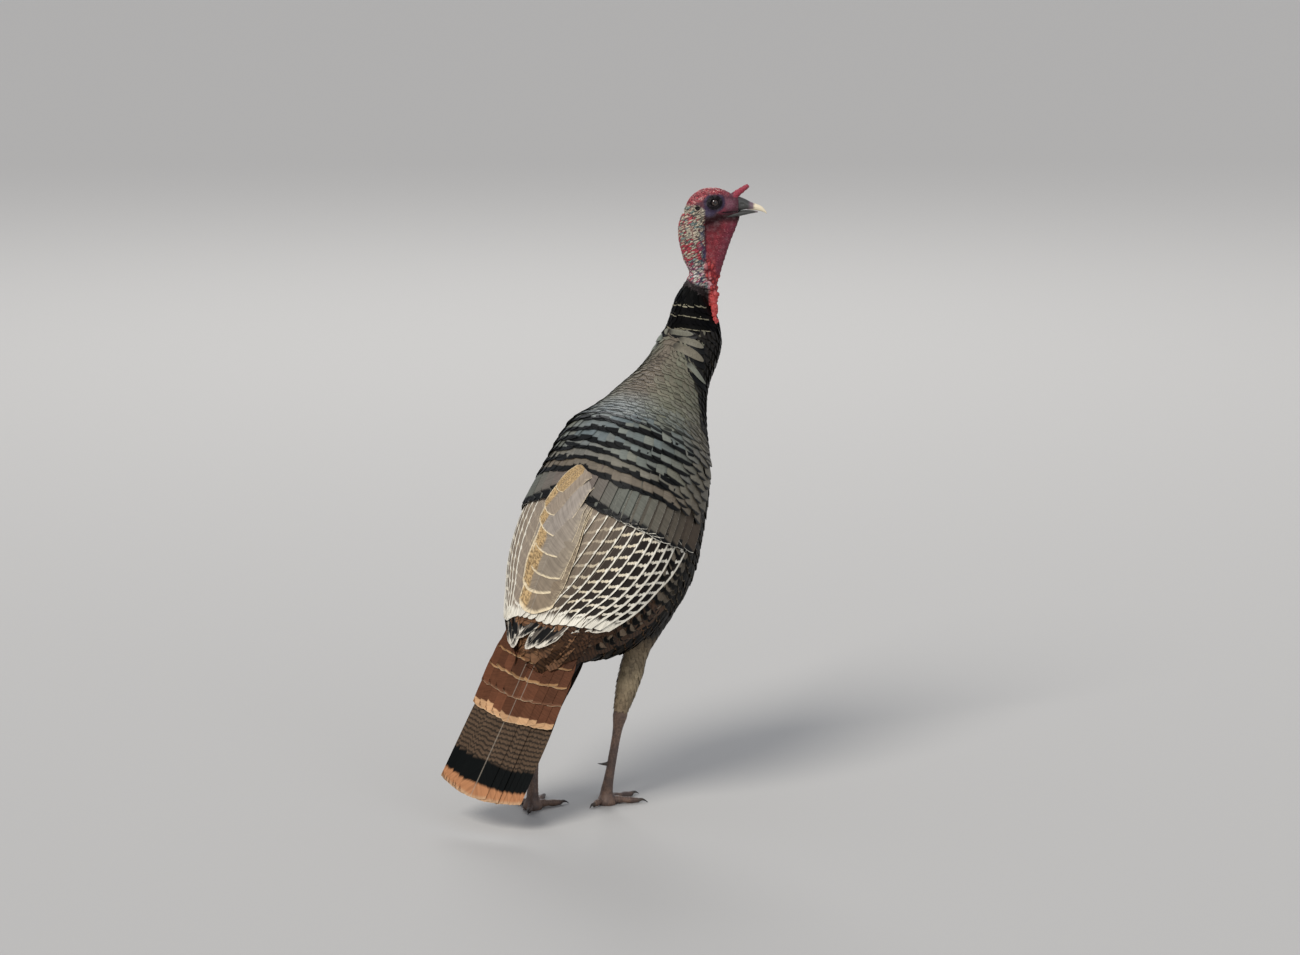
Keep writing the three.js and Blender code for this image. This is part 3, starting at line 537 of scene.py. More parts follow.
# Pieces of vanes: material, columns, rows, tip round, tip width, root width, camber, ragged edge
# and thickness in mm.
VANES = {
    "head_bristles": ("Black feathers", 1, 4, 0.0, 0.2, 1.0, 0.0, 0.0, 0.2),
    "beard_bristles": ("Black feathers", 2, 8, 0.0, 0.4, 1.0, 0.0, 0.0, 0.8),
    "coat_neck": ("Black feathers", 5, 7, 0.1, 0.8, 0.45, 0.12, 0.08, 0.5),
    "coat_mantle": ("Contour feathers", 6, 7, 0.08, 0.8, 0.45, 0.07, 0.03, 0.5),
    "coat_ovals": ("Contour feathers", 10, 12, 0.22, 0.85, 0.9, 0.12, 0.02, 0.5),
    "coat_shoulder": ("Contour feathers", 7, 8, 0.12, 0.9, 0.45, 0.06, 0.05, 0.5),
    "coat_breast": ("Black feathers", 5, 7, 0.2, 0.8, 0.45, 0.12, 0.12, 0.5),
    "coat_belly": ("Black feathers", 5, 7, 0.2, 0.8, 0.45, 0.12, 0.12, 0.5),
    "coat_rump": ("Contour feathers", 6, 8, 0.06, 0.8, 0.45, 0.04, 0.12, 0.5),
    "coat_leg": ("Contour feathers", 4, 5, 0.2, 0.8, 0.45, 0.12, 0.12, 0.5),
    "greater_coverts": ("Contour feathers", 8, 16, 0.05, 0.98, 0.8, 0.0, 0.02, 0.5),
    "secondaries": ("Quills", 8, 30, 0.03, 0.95, 0.8, 0.05, 0.01, 0.5),
    "tertials": ("Tertials", 12, 26, 0.07, 0.88, 0.75, 0.1, 0.02, 0.5),
    "primaries": ("Quills", 6, 26, 0.1, 0.95, 0.9, 0.12, 0.02, 0.5),
    "rectrices": ("Tail feathers", 8, 26, 0.018, 1.0, 0.6, 0.015, 0.02, 0.5),
    "tail_coverts": ("Tail feathers", 6, 10, 0.08, 0.96, 0.7, 0.02, 0.16, 0.5),
    "undertail_coverts": ("Black feathers", 6, 9, 0.08, 0.96, 0.7, 0.02, 0.16, 0.5),
}
VANE_COLUMNS = ("Columns", "Rows", "Tip round", "Tip width", "Root width", "Camber", "Ragged", "Thickness")


def lay_vanes(name, guides, patch=0.003):
    """Builds one piece of feathers from guides, as a plain mesh with its bake map."""
    kind, *shape = VANES[name.removesuffix("_left").removesuffix("_right")]
    shape[-1] /= 1000
    count, steps = guides["points"].shape[:2]
    mesh = bpy.data.meshes.new(name)
    mesh.from_pydata([tuple(p) for p in metres(guides["points"]).reshape(-1, 3)], [], [])
    fields = {key: guides[key].reshape(-1, 3) for key in ("side", "out")}
    fields["half"] = guides["half"].reshape(-1) / 1000
    for key, values in {**guides["looks"], "bake": guides["bake"]}.items():
        fields[key] = np.repeat(values, steps, axis=0)
    put_attributes(mesh, **fields)
    source = add_object(name + "_guides", mesh)
    tree = bpy.data.node_groups.get("Feather vanes") or vane_tree()
    modifier = source.modifiers.new("vanes", "NODES")
    modifier.node_group = tree
    values = {"Points per guide": steps, "Material": material(kind), **dict(zip(VANE_COLUMNS, shape))}
    for item in tree.interface.items_tree:
        if item.in_out == "INPUT" and item.name in values:
            modifier[item.identifier] = values[item.name]
    source.update_tag()
    made = evaluated_mesh(source)
    made.name = name
    bpy.data.objects.remove(source)
    bpy.data.meshes.remove(mesh)
    if len(made.polygons) < count:
        raise RuntimeError(f"{name}: no vanes were made")
    bake_map(made, patch)
    for key in ("side", "out", "bake", "feather", "depth", "rim"):
        if key in made.attributes:
            made.attributes.remove(made.attributes[key])
    return add_object(name, made)


def bake_map(mesh, patch):
    """Each vane is a small patch at its root's place on the unwrapped skin."""
    centre = get_attribute(mesh, "bake", 3)
    across, level = get_attribute(mesh, "across", 1), get_attribute(mesh, "level", 1)
    size = centre[:, 2:3] if np.any(centre[:, 2]) else patch
    spot = centre[:, :2] + np.stack([across / 2, level - 0.5], 1) * size
    loops = np.zeros(len(mesh.loops), np.int32)
    mesh.loops.foreach_get("vertex_index", loops)
    layer = mesh.uv_layers.new(name="OFBake")
    layer.data.foreach_set("uv", np.clip(spot[loops], 0.001, 0.999).astype(np.float32).ravel())


STEPS = 5  # guide points of a body feather


def bulk(along, angle):
    """How much the folded wing lifts the coat off the body's surface."""
    under = ease(along, 455, 385) * ease(np.abs(angle), 116, 96)
    return 5.0 * under


def finish_guides(points, out, half, tilt, along, angle, rng, cell=0.0):
    """The set of arrays that lay_vanes() takes."""
    way = unit(np.gradient(points, axis=1))
    side = unit(np.cross(out, way))
    out = unit(np.cross(way, side))
    turn = np.broadcast_to(np.asarray(tilt, float), along.shape)[:, None, None]
    side, out = side * np.cos(turn) + out * np.sin(turn), out * np.cos(turn) - side * np.sin(turn)
    count, steps = points.shape[:2]
    bake = np.stack([0.5 + angle / 380.0, 0.02 + 0.96 * along / BODY_END, np.zeros(count)], -1)
    if cell:
        row = int(1 / cell)
        index = np.arange(count)
        seats = (np.stack([index % row, index // row], -1) + 0.5) * cell
        bake = np.column_stack([seats, np.full(count, cell * 0.94)])
    return {
        "points": points,
        "side": side,
        "out": out,
        "half": np.repeat(half[:, None], steps, 1),
        "bake": bake,
        "along": along,
        "angle": angle,
        "rng": rng,
    }


def coat_guides(
    along, angle, length, half, lift, seed, wild=1.0, surface=skin_frame, extra=bulk, lean=0.06
):
    """Guides for feathers that follow a surface from their roots towards its low end, each one
    leaning over its neighbour.
    """
    rng = np.random.default_rng(seed)
    along, angle, length, half = (np.array(v, float) for v in np.broadcast_arrays(along, angle, length, half))
    along = along + rng.normal(0, 0.05, along.shape) * length * wild
    swing = np.radians(rng.normal(0, 4.5, along.shape) * wild)
    length = length * (1 + rng.normal(0, 0.06, along.shape) * wild)
    half = half * (1 + rng.normal(0, 0.07, along.shape) * wild)
    share = np.linspace(0, 1, STEPS)[None, :]
    here, ahead, around, out = surface(along, angle)
    run = (length * np.cos(swing) / np.linalg.norm(ahead, axis=-1))[:, None] * share
    turn = (length * np.sin(swing) / np.linalg.norm(around, axis=-1))[:, None] * share
    a, b = along[:, None] - run, angle[:, None] + turn
    here, ahead, around, out = surface(a, b)
    rise = mix(lift[0], lift[1], share**0.8) + (rng.random(along.shape)[:, None] - 0.4) * 1.6 * share * wild
    points = here + out * (rise + extra(a, b))[..., None]
    tilt = np.radians(rng.normal(0, 2.0, along.shape) * wild) + np.where(angle > 0, lean, -lean)
    return finish_guides(points, out, half, tilt, along, angle, rng)


def quill_guides(root, tip, lift, half, tilt=0.0, bow=0.0, steps=14, seed=0, cell=0.0):
    """Guides for wing quills from roots to tips, both given as (along, angle)."""
    rng = np.random.default_rng(seed)
    root, tip, lift = (np.asarray(v, float) for v in (root, tip, lift))
    lift = np.broadcast_to(lift, (len(root), 3))
    share = np.linspace(0, 1, steps)[None, :]
    along = mix(root[:, :1], tip[:, :1], share)
    bow = np.broadcast_to(np.asarray(bow, float), (len(root),))[:, None]
    angle = mix(root[:, 1:], tip[:, 1:], share) + bow * np.sin(np.pi * share)
    here, _, _, out = skin_frame(along, angle)
    early = np.clip(share / 0.2, 0, 1)
    late = np.clip((share - 0.2) / 0.8, 0, 1)
    high = mix(mix(lift[:, :1], lift[:, 1:2], early), lift[:, 2:], late)
    half = np.broadcast_to(np.asarray(half, float), (len(root),))
    return finish_guides(here + out * high[..., None], out, half, tilt, root[:, 0], root[:, 1], rng, cell)


def tail_guides(across, start, length, half, lift, tilt, seed, steps=8, spread=1.0, cell=0.0):
    """Guides for straight feathers of the tail: across is the place in the fan, from -1 to 1."""
    rng = np.random.default_rng(seed)
    across, start, length, half, tilt = (
        np.array(v, float) for v in np.broadcast_arrays(across, start, length, half, tilt)
    )
    share = np.linspace(0, 1, steps)[None, :]
    d = start[:, None] + length[:, None] * share
    x = mix(TAIL_HALF[0], TAIL_HALF[1] * spread, np.clip(d / TAIL_LENGTH, -0.1, 1)) * across[:, None]
    high = mix(lift[0], lift[1], share)
    points = in_tail(d, x, high)
    slope = -2 * TAIL_ROOF * x
    out = unit(tail_up - tail_side * slope[..., None])
    along = 20 + 30 * (1 - (start + 60) / 160)
    return finish_guides(points, out, half, np.arctan(tilt), along, across * 40, rng, cell)


def join_guides(sets):
    """Several sets of guides with the same number of points, as one."""
    whole = lambda rows, keys: {key: np.concatenate([row[key] for row in rows]) for key in keys}
    looks = [g["looks"] for g in sets]
    return {**whole(sets, ("points", "side", "out", "half", "bake")), "looks": whole(looks, looks[0])}


def scatter(rows, spacing, low, high, stagger=True):
    """Even places along rows across the body's surface, as along and angle."""
    found = []
    for number, along in enumerate(rows):
        angles = np.linspace(low, high, 181)
        line = skin(np.full(181, along), angles)
        arc = np.concatenate([[0], np.cumsum(np.linalg.norm(np.diff(line, axis=0), axis=1))])
        count = max(int(arc[-1] / spacing), 2)
        at = (np.arange(count) + (0.5 if number % 2 and stagger else 0.0) + 0.25) * arc[-1] / count
        spot = np.interp(at, arc, angles)
        found.append(np.column_stack([np.full(count, along), spot]))
    return np.concatenate(found).T


def look(guides, base, tip, edge, band=0.2, fringe=0.04, spread=0.1, hand=1.0, bars=0.0):
    """Per-feather colours: base, tip band and its edge, and the shares they take."""
    count = len(guides["points"])
    rng = guides["rng"]
    row = lambda v: np.broadcast_to(np.asarray(v, float), (count, 3))
    one = lambda v: np.broadcast_to(np.asarray(v, float), (count,))
    tone = 1 + rng.normal(0, spread, count)[:, None]
    guides["looks"] = {
        "base": np.clip(row(base) * tone, 0, 1),
        "tip": np.clip(row(tip) * tone, 0, 1),
        "edge": np.clip(row(edge) * tone, 0, 1),
        "band": one(band) * (1 + rng.normal(0, 0.15, count)),
        "fringe": one(fringe) * (1 + rng.normal(0, 0.2, count)),
        "hand": one(hand),
        "bars": one(bars),
        "chance": rng.random(count),
    }
    return guides


def tints(pairs, at):
    """Colours along a scale: pairs of (place, colour)."""
    places = np.array([p for p, _ in pairs], float)
    colors = np.array([c for _, c in pairs], float)
    return np.stack([np.interp(at, places, colors[:, k]) for k in range(3)], -1)


BLACK = rgb(9, 10, 10)
SOOT = rgb(34, 31, 27)
OLIVE = rgb(126, 126, 108)
SLATE = rgb(136, 141, 137)
BROWN_GREY = rgb(122, 112, 98)
RUST = rgb(126, 82, 50)
CHESTNUT = rgb(112, 72, 52)
PALE = rgb(214, 200, 172)
WHITE = rgb(236, 230, 214)


# ---------------------------------------------------------------- materials
def new_material(name, **settings):
    """A material with a new shader, set by name: the material, its nodes and the shader."""
    material = bpy.data.materials.new(name)
    material.use_nodes = True
    material.node_tree.nodes.clear()
    n = Nodes(material.node_tree)
    shader = n.add("ShaderNodeBsdfPrincipled", **settings)
    n.add("ShaderNodeOutputMaterial", Surface=shader.outputs[0])
    return material, n, shader


def contour_marks(n, v):
    """The hidden root is dusky, the end has a dark band and a thin pale edge."""
    color = n.blend(n.smooth(v.level, 0.45, 0.1), v.color, (0.02, 0.018, 0.016, 1))
    wave = n.math("SINE", (v.barb + v.wobble) * 50.0)
    color = n.blend(n.smooth(wave, 0.1, 0.5) * v.bars, color, v.tip)
    color = n.blend(n.smooth(v.curve - v.band, 0.025, -0.025), color, v.tip)
    rim = n.least(v.left, (1.0 - v.wide) * 2.4) + v.wobble * 0.25
    return n.blend(n.smooth(rim - v.fringe, 0.0, -0.014), color, v.edge)


def quill_marks(n, v):
    """Dark, with broken pale bars that widen to the outer edge, and pale edges."""
    inner = v.across * v.hand
    slant = v.level * v.bars + inner * 0.42 + (v.cloud * 0.5 + v.chance)
    peak = abs(n.math("FRACT", slant) - 0.5)
    wide_bar = n.smooth(inner, -0.9, 1.0, (0.06, 0.13))
    crossed = n.smooth(peak + v.wobble * 0.5 - wide_bar, 0.03, -0.03)
    color = n.blend(crossed, v.color, v.tip)
    rim = n.least(v.left * 2.8, 1.0 - inner) + (v.wobble * 1.6 - crossed * 0.1)
    color = n.blend(n.smooth(rim - v.fringe, 0.06, -0.06), color, v.edge)
    inner_rim = 1.0 + inner + v.wobble
    return n.blend(n.smooth(inner_rim - v.fringe, 0.05, -0.05), color, v.edge)


def tertial_marks(n, v):
    """Grey-brown, speckled gold along the inner edge, with a pale tip."""
    inner = v.across * (v.hand * -1.0)
    fleck = n.noise(n.vector(v.across * 6.0, v.level * 38.0, v.chance), 1.0, 4.0)
    gold = n.blend(n.smooth(fleck, 0.42, 0.58), v.tip, n.blend(0.6, v.tip, (0.05, 0.03, 0.015, 1)))
    reach = n.smooth(inner + (v.cloud - 0.5) * 0.5, 0.22, 0.4)
    color = n.blend(n.most(reach, v.bars), v.color, gold)
    outer = n.smooth(inner, -0.7, -0.9) * n.smooth(fleck, 0.45, 0.6)
    color = n.blend(outer * 0.2, color, v.edge)
    rim = n.least(n.least(v.left * 3.2, 1.0 - inner), (1.0 + inner) * 4.0) + v.wobble * 0.8
    return n.blend(n.smooth(rim - v.fringe, 0.05, -0.03), color, v.edge)


def tail_marks(n, v):
    """Fine wavy bars, a black band and a buff end."""
    wave = v.level * 195.0 + v.cloud * 8.0 + n.math("SINE", v.across * 4.0) + v.fibre * 3.5
    lines = n.smooth(n.math("SINE", wave), -0.1, 0.6) * v.bars
    color = n.blend(lines, v.color, (0.014, 0.012, 0.01, 1))
    color = n.blend(n.smooth(v.curve - v.band, 0.015, -0.015), color, v.tip)
    end = v.curve + v.wobble * 0.2
    color = n.blend(n.smooth(end - v.fringe, 0.012, -0.012), color, v.edge)
    hem = n.blend(0.5, color, (0.6, 0.45, 0.28, 1))
    pale = n.blend(n.smooth(v.left, 0.03, 0.0), color, hem)
    return n.blend(n.smooth(v.left - v.fringe, 0.0, -0.02), color, pale)


def feather_material(name, marks, rough=0.55, shine=0.15, bend=0.1):
    """Feathers, marked by their own across and level."""
    material, n, shader = new_material(name, Roughness=rough, Specular_IOR_Level=shine)
    values = {key: n.field(key, "Color") for key in ("base", "tip", "edge")}
    for key in ("across", "level", "chance", "band", "fringe", "hand", "bars"):
        values[key] = n.field(key)
    v = SimpleNamespace(**values)
    v.wide, v.left = abs(v.across), 1.0 - v.level
    # barbs run out and forwards from the shaft, and part here and there
    v.barb = v.level - v.wide * 0.16
    v.fibre = n.noise(n.vector(v.chance * 19.0, v.barb * 46.0, v.across * 0.9), 1.0, 3.0)
    v.cloud = n.noise(n.vector(v.chance * 37.0, v.across * 1.5, v.level), 3.0, 2.0)
    v.wobble = (v.fibre - 0.5) * (0.012 if marks is tail_marks else 0.1)
    v.curve = v.left + v.wide * v.wide * bend + v.wobble
    shade = n.blend(0.35, v.base, (0, 0, 0, 1))
    v.color = n.blend(n.smooth(v.cloud, 0.3, 0.7, (0.0, 0.35)), v.base, shade)
    color = marks(n, v)
    shaft = n.smooth(v.wide, 0.05, 0.02)
    color = n.blend(shaft * (0.0 if marks is contour_marks else 0.45), color, (0.35, 0.3, 0.24, 1))
    color = n.blend(n.smooth(v.fibre, 0.35, 0.65, (0.0, 0.22)), color, (0, 0, 0, 1))
    n.feed(shader, "Base Color", color)
    n.bump(shader, v.fibre * 0.7 + shaft * 0.6, 0.0006, 0.5)
    return material


def skin_material():
    """Bare skin: its colours come from the tone attribute, with fine grain in the bump and painted shade in
    the grain's hollows.
    """
    material, n, shader = new_material("Bare skin", Roughness=0.42, Specular_IOR_Level=0.16)
    tone, place = n.field("tone", "Color"), n.place()
    grain = Value(n, n.add("ShaderNodeTexVoronoi", Vector=place, Scale=520.0).outputs["Distance"])
    fine, soft = n.noise(place, 900.0, 4.0), n.noise(place, 160.0, 3.0)
    # painted shade: the tone is darkened in the hollows of the grain, where the bump sinks
    painted_shade = n.blend(0.55, tone, (0.02, 0.008, 0.012, 1))
    color = n.blend(n.smooth(grain, 0.35, 0.8, (0.0, 0.5)), tone, painted_shade)
    pale = n.blend(0.5, color, (0.5, 0.42, 0.42, 1))
    n.feed(shader, "Base Color", n.blend(n.smooth(soft, 0.45, 0.7, (0.0, 0.14)), color, pale))
    n.bump(shader, fine * 0.4 - grain, 0.0007, 0.7)
    return material


def horn_material(name, dark, middle, light, rough=0.32):
    """Horn that goes from dark at the root to light at the tip by the share attribute."""
    material, n, shader = new_material(name, Roughness=rough)
    streak = n.add("ShaderNodeMapping", Vector=n.place(), Scale=(260, 260, 700))
    mottle = n.noise(streak, 1.0, 4.0)
    at = n.field("share") + (mottle - 0.5) * 0.25
    color = n.blend(n.smooth(at, 0.0, 0.4), rgba(dark), rgba(middle))
    n.feed(shader, "Base Color", n.blend(n.smooth(at, 0.45, 0.72), color, rgba(light)))
    n.bump(shader, mottle, 0.0003, 0.4)
    return material


def scale_material():
    """Leg scales: pinkish brown plates with dusky joints, by the joint attribute."""
    material, n, shader = new_material("Leg scales", Roughness=0.5)
    place = n.place()
    cloud, fine = n.noise(place, 60.0, 5.0), n.noise(place, 700.0, 4.0)
    color = n.blend(n.smooth(cloud, 0.35, 0.65), rgba(rgb(92, 74, 66)), rgba(rgb(124, 98, 82)))
    color = n.blend(n.smooth(fine, 0.5, 0.7, (0.0, 0.35)), color, rgba(rgb(70, 60, 54)))
    n.feed(shader, "Base Color", n.blend(n.field("joint") * 0.75, color, rgba(rgb(58, 46, 42))))
    n.bump(shader, fine, 0.0004, 0.5)
    return material


def plain_material(name, color, rough):
    """One even colour."""
    return new_material(name, Base_Color=rgba(color), Roughness=rough, Coat_Roughness=0.03)[0]


def eye_material():
    """A dark brown iris round a black pupil, under a clear cornea."""
    clear = {"Roughness": 0.08, "Coat_Weight": 0.6, "Coat_Roughness": 0.02}
    material, n, shader = new_material("Eye", **clear)
    ring = n.field("ring")
    iris = n.blend(n.noise(n.place(), 900.0, 3.0), rgba(rgb(34, 20, 14)), rgba(rgb(62, 38, 24)))
    color = n.blend(n.smooth(ring, 0.42, 0.46), rgba(rgb(6, 5, 5)), iris)
    n.feed(shader, "Base Color", n.blend(n.smooth(ring, 0.78, 0.86), color, rgba(rgb(20, 14, 14))))
    return material


MATERIALS = {
    "Contour feathers": lambda name: feather_material(name, contour_marks, 0.5, 0.2),
    "Black feathers": lambda name: feather_material(name, contour_marks, 0.5, 0.05, 0.0),
    "Quills": lambda name: feather_material(name, quill_marks),
    "Tertials": lambda name: feather_material(name, tertial_marks),
    "Tail feathers": lambda name: feather_material(name, tail_marks, shine=0.05, bend=0.02),
    "Bare skin": lambda name: skin_material(),
    "Bill horn": lambda name: horn_material(
        name, rgb(66, 66, 64), rgb(118, 96, 104), rgb(236, 222, 192)
    ),
    "Claw horn": lambda name: horn_material(
        name, rgb(78, 66, 56), rgb(62, 52, 46), rgb(38, 32, 30), 0.4
    ),
    "Leg scales": lambda name: scale_material(),
    "Eye": lambda name: eye_material(),
    "Floor": lambda name: plain_material(name, rgb(206, 203, 196), 0.85),
}


def material(key):
    """The scene's materials, each made once."""
    return bpy.data.materials.get(key) or MATERIALS[key](key)


BARE_LINE = in_head(14.0, 0.0, -132.0)
BARE_UP = unit(head_forward * 0.45 + UP)


# ---------------------------------------------------------------- skin, head and feet
# Rows: place along the head, top, bottom, half width.
SKULL = np.array(
    [
        (-10, -12, -24, 9),
        (-4, 1, -34, 16),
        (6, 12.5, -40, 20.5),
        (18, 19.5, -40, 22),
        (30, 21.5, -36, 21.5),
        (42, 21, -32, 19),
        (54, 17.5, -28, 15.5),
        (66, 12, -25, 12),
        (76, 8, -22, 9.5),
    ]
)
BILL_UPPER = np.array(
    [
        (66, 9, -16, 9),
        (77, 8, -14.6, 8.6),
        (87, 4, -12.8, 7.6),
        (97, -1.2, -13.4, 6.2),
        (107, -4.6, -14.4, 4.4),
        (115, -9, -16.4, 2.8),
        (121, -16.4, -19.4, 0.9),
    ]
)
BILL_LOWER = np.array(
    [
        (58, -17.4, -27, 8.6),
        (71, -15.8, -24.6, 8.2),
        (82, -14, -22.6, 7),
        (92, -13.6, -20.2, 5.2),
        (101, -14.6, -18.4, 3.4),
        (107, -15.8, -17.4, 1.6),
    ]
)
# Rows: height below the eyes, front edge, back edge, half thickness.
THROAT = np.array(
    [
        (20, 80, 14, 6.5),
        (40, 73, 10, 9.5),
        (65, 63, 8, 10),
        (88, 55.5, 6, 9.5),
        (111, 48.5, 6, 8.5),
        (135, 43, 10, 7.5),
        (160, 42, 20, 6),
        (196, 40, 28, 4),
    ],
    float,
)
LEGS = {
    "right": {"hip": (-74, 98, 372), "hock": (-45, 48, 160), "ankle": (-13, 47, 22), "yaw": -8},
    "left": {"hip": (76, 66, 372), "hock": (52, -44, 162), "ankle": (48, -58, 22), "yaw": 32},
}
# Rows: share of the length, radius across, radius fore and aft.
THIGH = np.array(
    [
        (0, 44, 56),
        (0.25, 36, 46),
        (0.45, 23, 28),
        (0.58, 17, 20),
        (0.7, 18, 20),
        (0.85, 16, 17.5),
        (0.94, 13, 14.5),
        (1, 10.5, 12),
    ]
)
SHANK = np.array(
    [
        (0, 10.5, 11.5),
        (0.08, 11, 12),
        (0.22, 7.6, 8.6),
        (0.6, 6.6, 7.6),
        (0.88, 8, 8.4),
        (1, 10.5, 9),
    ]
)
# Toes: length, heading from the foot's own, and thickness at the root.
TOES = {"middle": (84, 0, 7.4), "inner": (66, 46, 6.8), "outer": (66, -44, 6.6), "hind": (40, 176, 5.4)}
CLAW_SHARE = 0.24


def ring_angles(sides):
    """Sines and cosines round a ring."""
    angle = np.radians(np.arange(sides) * 360 / sides)
    return np.sin(angle)[None, :], np.cos(angle)[None, :]


def head_form(rows, steps, sides):
    """Rings of a form swept along the head, in mm."""
    at = np.linspace(rows[0][0], rows[-1][0], steps + 1)
    value = between(rows, at)
    top, bottom, half = (value[:, k][:, None] for k in (1, 2, 3))
    s, c = ring_angles(sides)
    return in_head(at[:, None], s * half, (top + bottom) / 2 + c * (top - bottom) / 2)


def throat_form(steps, sides):
    """Rings of the loose fold of the throat."""
    down = np.linspace(THROAT[0][0], THROAT[-1][0], steps + 1)
    value = between(THROAT, down)
    front, rear, half = (value[:, k][:, None] for k in (1, 2, 3))
    s, c = ring_angles(sides)
    wave = 0.35 * np.sin(down / 9.0 * 2 * math.pi)[:, None]
    forward = (front + rear) / 2 + c * ((front - rear) / 2 + wave)
    return in_head(forward, s * (half + 0.6 * wave), -down[:, None])


def torus_form(centre, axis, major, minor, stretch=1.0, steps=40, sides=14):
    """Rings of a closed torus round an axis: stretch widens it along the head."""
    axis = unit(np.asarray(axis, float))
    flat = np.cross(UP, axis)
    s, c = ring_angles(sides)
    turn = np.radians(np.arange(steps) * 360 / steps)[:, None, None]
    ray = flat * np.cos(turn) * stretch + UP * np.sin(turn)
    points = centre + ray * (major + minor * c[..., None]) + axis * minor * s[..., None]
    at = lambda r, k: (r % steps) * sides + k % sides
    faces = [
        (at(r, k), at(r, k + 1), at(r + 1, k + 1), at(r + 1, k))
        for r in range(steps)
        for k in range(sides)
    ]
    return points.reshape(-1, 3), faces


def blob_form(centre, radii, steps=10, sides=14):
    """A closed egg, with radii across, fore and aft, and upwards, in the head's frame."""
    polar = np.linspace(0.04, math.pi - 0.04, steps)[:, None]
    s, c = ring_angles(sides)
    ball = np.sin(polar) * s, np.sin(polar) * c, np.cos(polar) + 0 * s
    x, y, z = (radius * way[..., None] for radius, way in zip(radii, ball))
    return sweep(centre + head_left * x + head_forward * y + UP * z)


def at3(spot):
    """A point given as (x, forward, height)."""
    return np.array((spot[0], -spot[1], spot[2]), float)


def limb_axes(start, end):
    """Start, end, and the unit ways down, sideways and forward of a limb."""
    a, b = at3(start), at3(end)
    way = unit(b - a)
    side = unit(np.array((1.0, 0, 0)) - way * way[0])
    return a, b, way, side, np.cross(way, side)


def limb_form(start, end, rows, steps, sides, inset=0.0):
    """Rings of a limb between two points."""
    a, b, _, side, fore = limb_axes(start, end)
    share = np.linspace(0, 1, steps + 1)
    value = between(rows, share)
    s, c = ring_angles(sides)
    wide, deep = (np.maximum(value[:, k][:, None] - inset, 3) for k in (1, 2))
    spine = a + (b - a) * share[:, None]
    return spine[:, None, :] + side * (s * wide)[..., None] + fore * (c * deep)[..., None]


def thigh_frame(leg, along, angle):
    """The thigh's surface point, steps along and round, and the way out. Along runs up from the hock."""
    a, b, way, side, fore = limb_axes(leg["hip"], leg["hock"])
    length = np.linalg.norm(b - a)
    share = 1 - along / length
    value = between(THIGH, np.clip(share, 0, 1))
    wide, deep = value[..., 1:2], value[..., 2:3]
    s, c = np.sin(np.radians(angle))[..., None], np.cos(np.radians(angle))[..., None]
    here = a + (b - a) * share[..., None] + side * s * wide + fore * c * deep
    around = (side * c * wide - fore * s * deep) * math.radians(1)
    return here, -way + 0 * here, around, unit(side * s * deep + fore * c * wide)


def join_parts(parts):
    """Points and faces of several forms as one."""
    points, faces, first = [], [], 0
    for p, f in parts:
        points.append(np.asarray(p))
        faces.extend([tuple(int(i) + first for i in face) for face in f])
        first += len(p)
    return np.concatenate(points), faces


def fused(parts, cell, soften):
    """One closed skin round overlapping closed forms: points in mm, faces and normals."""
    points, faces = join_parts(parts)
    obj = mesh_object("fused", metres(points), faces)
    remesh = obj.modifiers.new("one", "REMESH")
    remesh.mode = "VOXEL"
    remesh.voxel_size = cell / 1000
    soft = obj.modifiers.new("soft", "SMOOTH")
    soft.factor = 0.5
    soft.iterations = soften
    made = evaluated_mesh(obj)
    place = np.zeros(len(made.vertices) * 3)
    made.vertices.foreach_get("co", place)
    normal = np.zeros(len(made.vertices) * 3, np.float32)
    made.vertex_normals.foreach_get("vector", normal)
    faces = [tuple(p.vertices) for p in made.polygons]
    bpy.data.objects.remove(obj)
    bpy.data.meshes.remove(made)
    return (place.reshape(-1, 3) - SHIFT) * 1000, faces, normal.reshape(-1, 3).astype(float)


def cells(points):
    """How far inside its cell each point lies, and a chance that is the cell's own."""
    inside, chance = [], []
    for p in points:
        near, spots = noise.voronoi(Vector(p))
        inside.append(near[1] - near[0])
        chance.append(noise.cell(spots[0] * 37.0))
    return np.array(inside), np.array(chance)


def roughness_at(points, scale):
    """Smooth noise from -1 to 1."""
    return np.array([noise.noise(Vector(p / scale)) for p in points])


def paint(tone, share, color):
    """Mixes a screen colour into the tones."""
    return mix(tone, np.asarray(color), np.clip(share, 0, 1)[:, None])


def grade(share, a, b):
    """A colour between two for each share."""
    return mix(a, b, share[:, None])


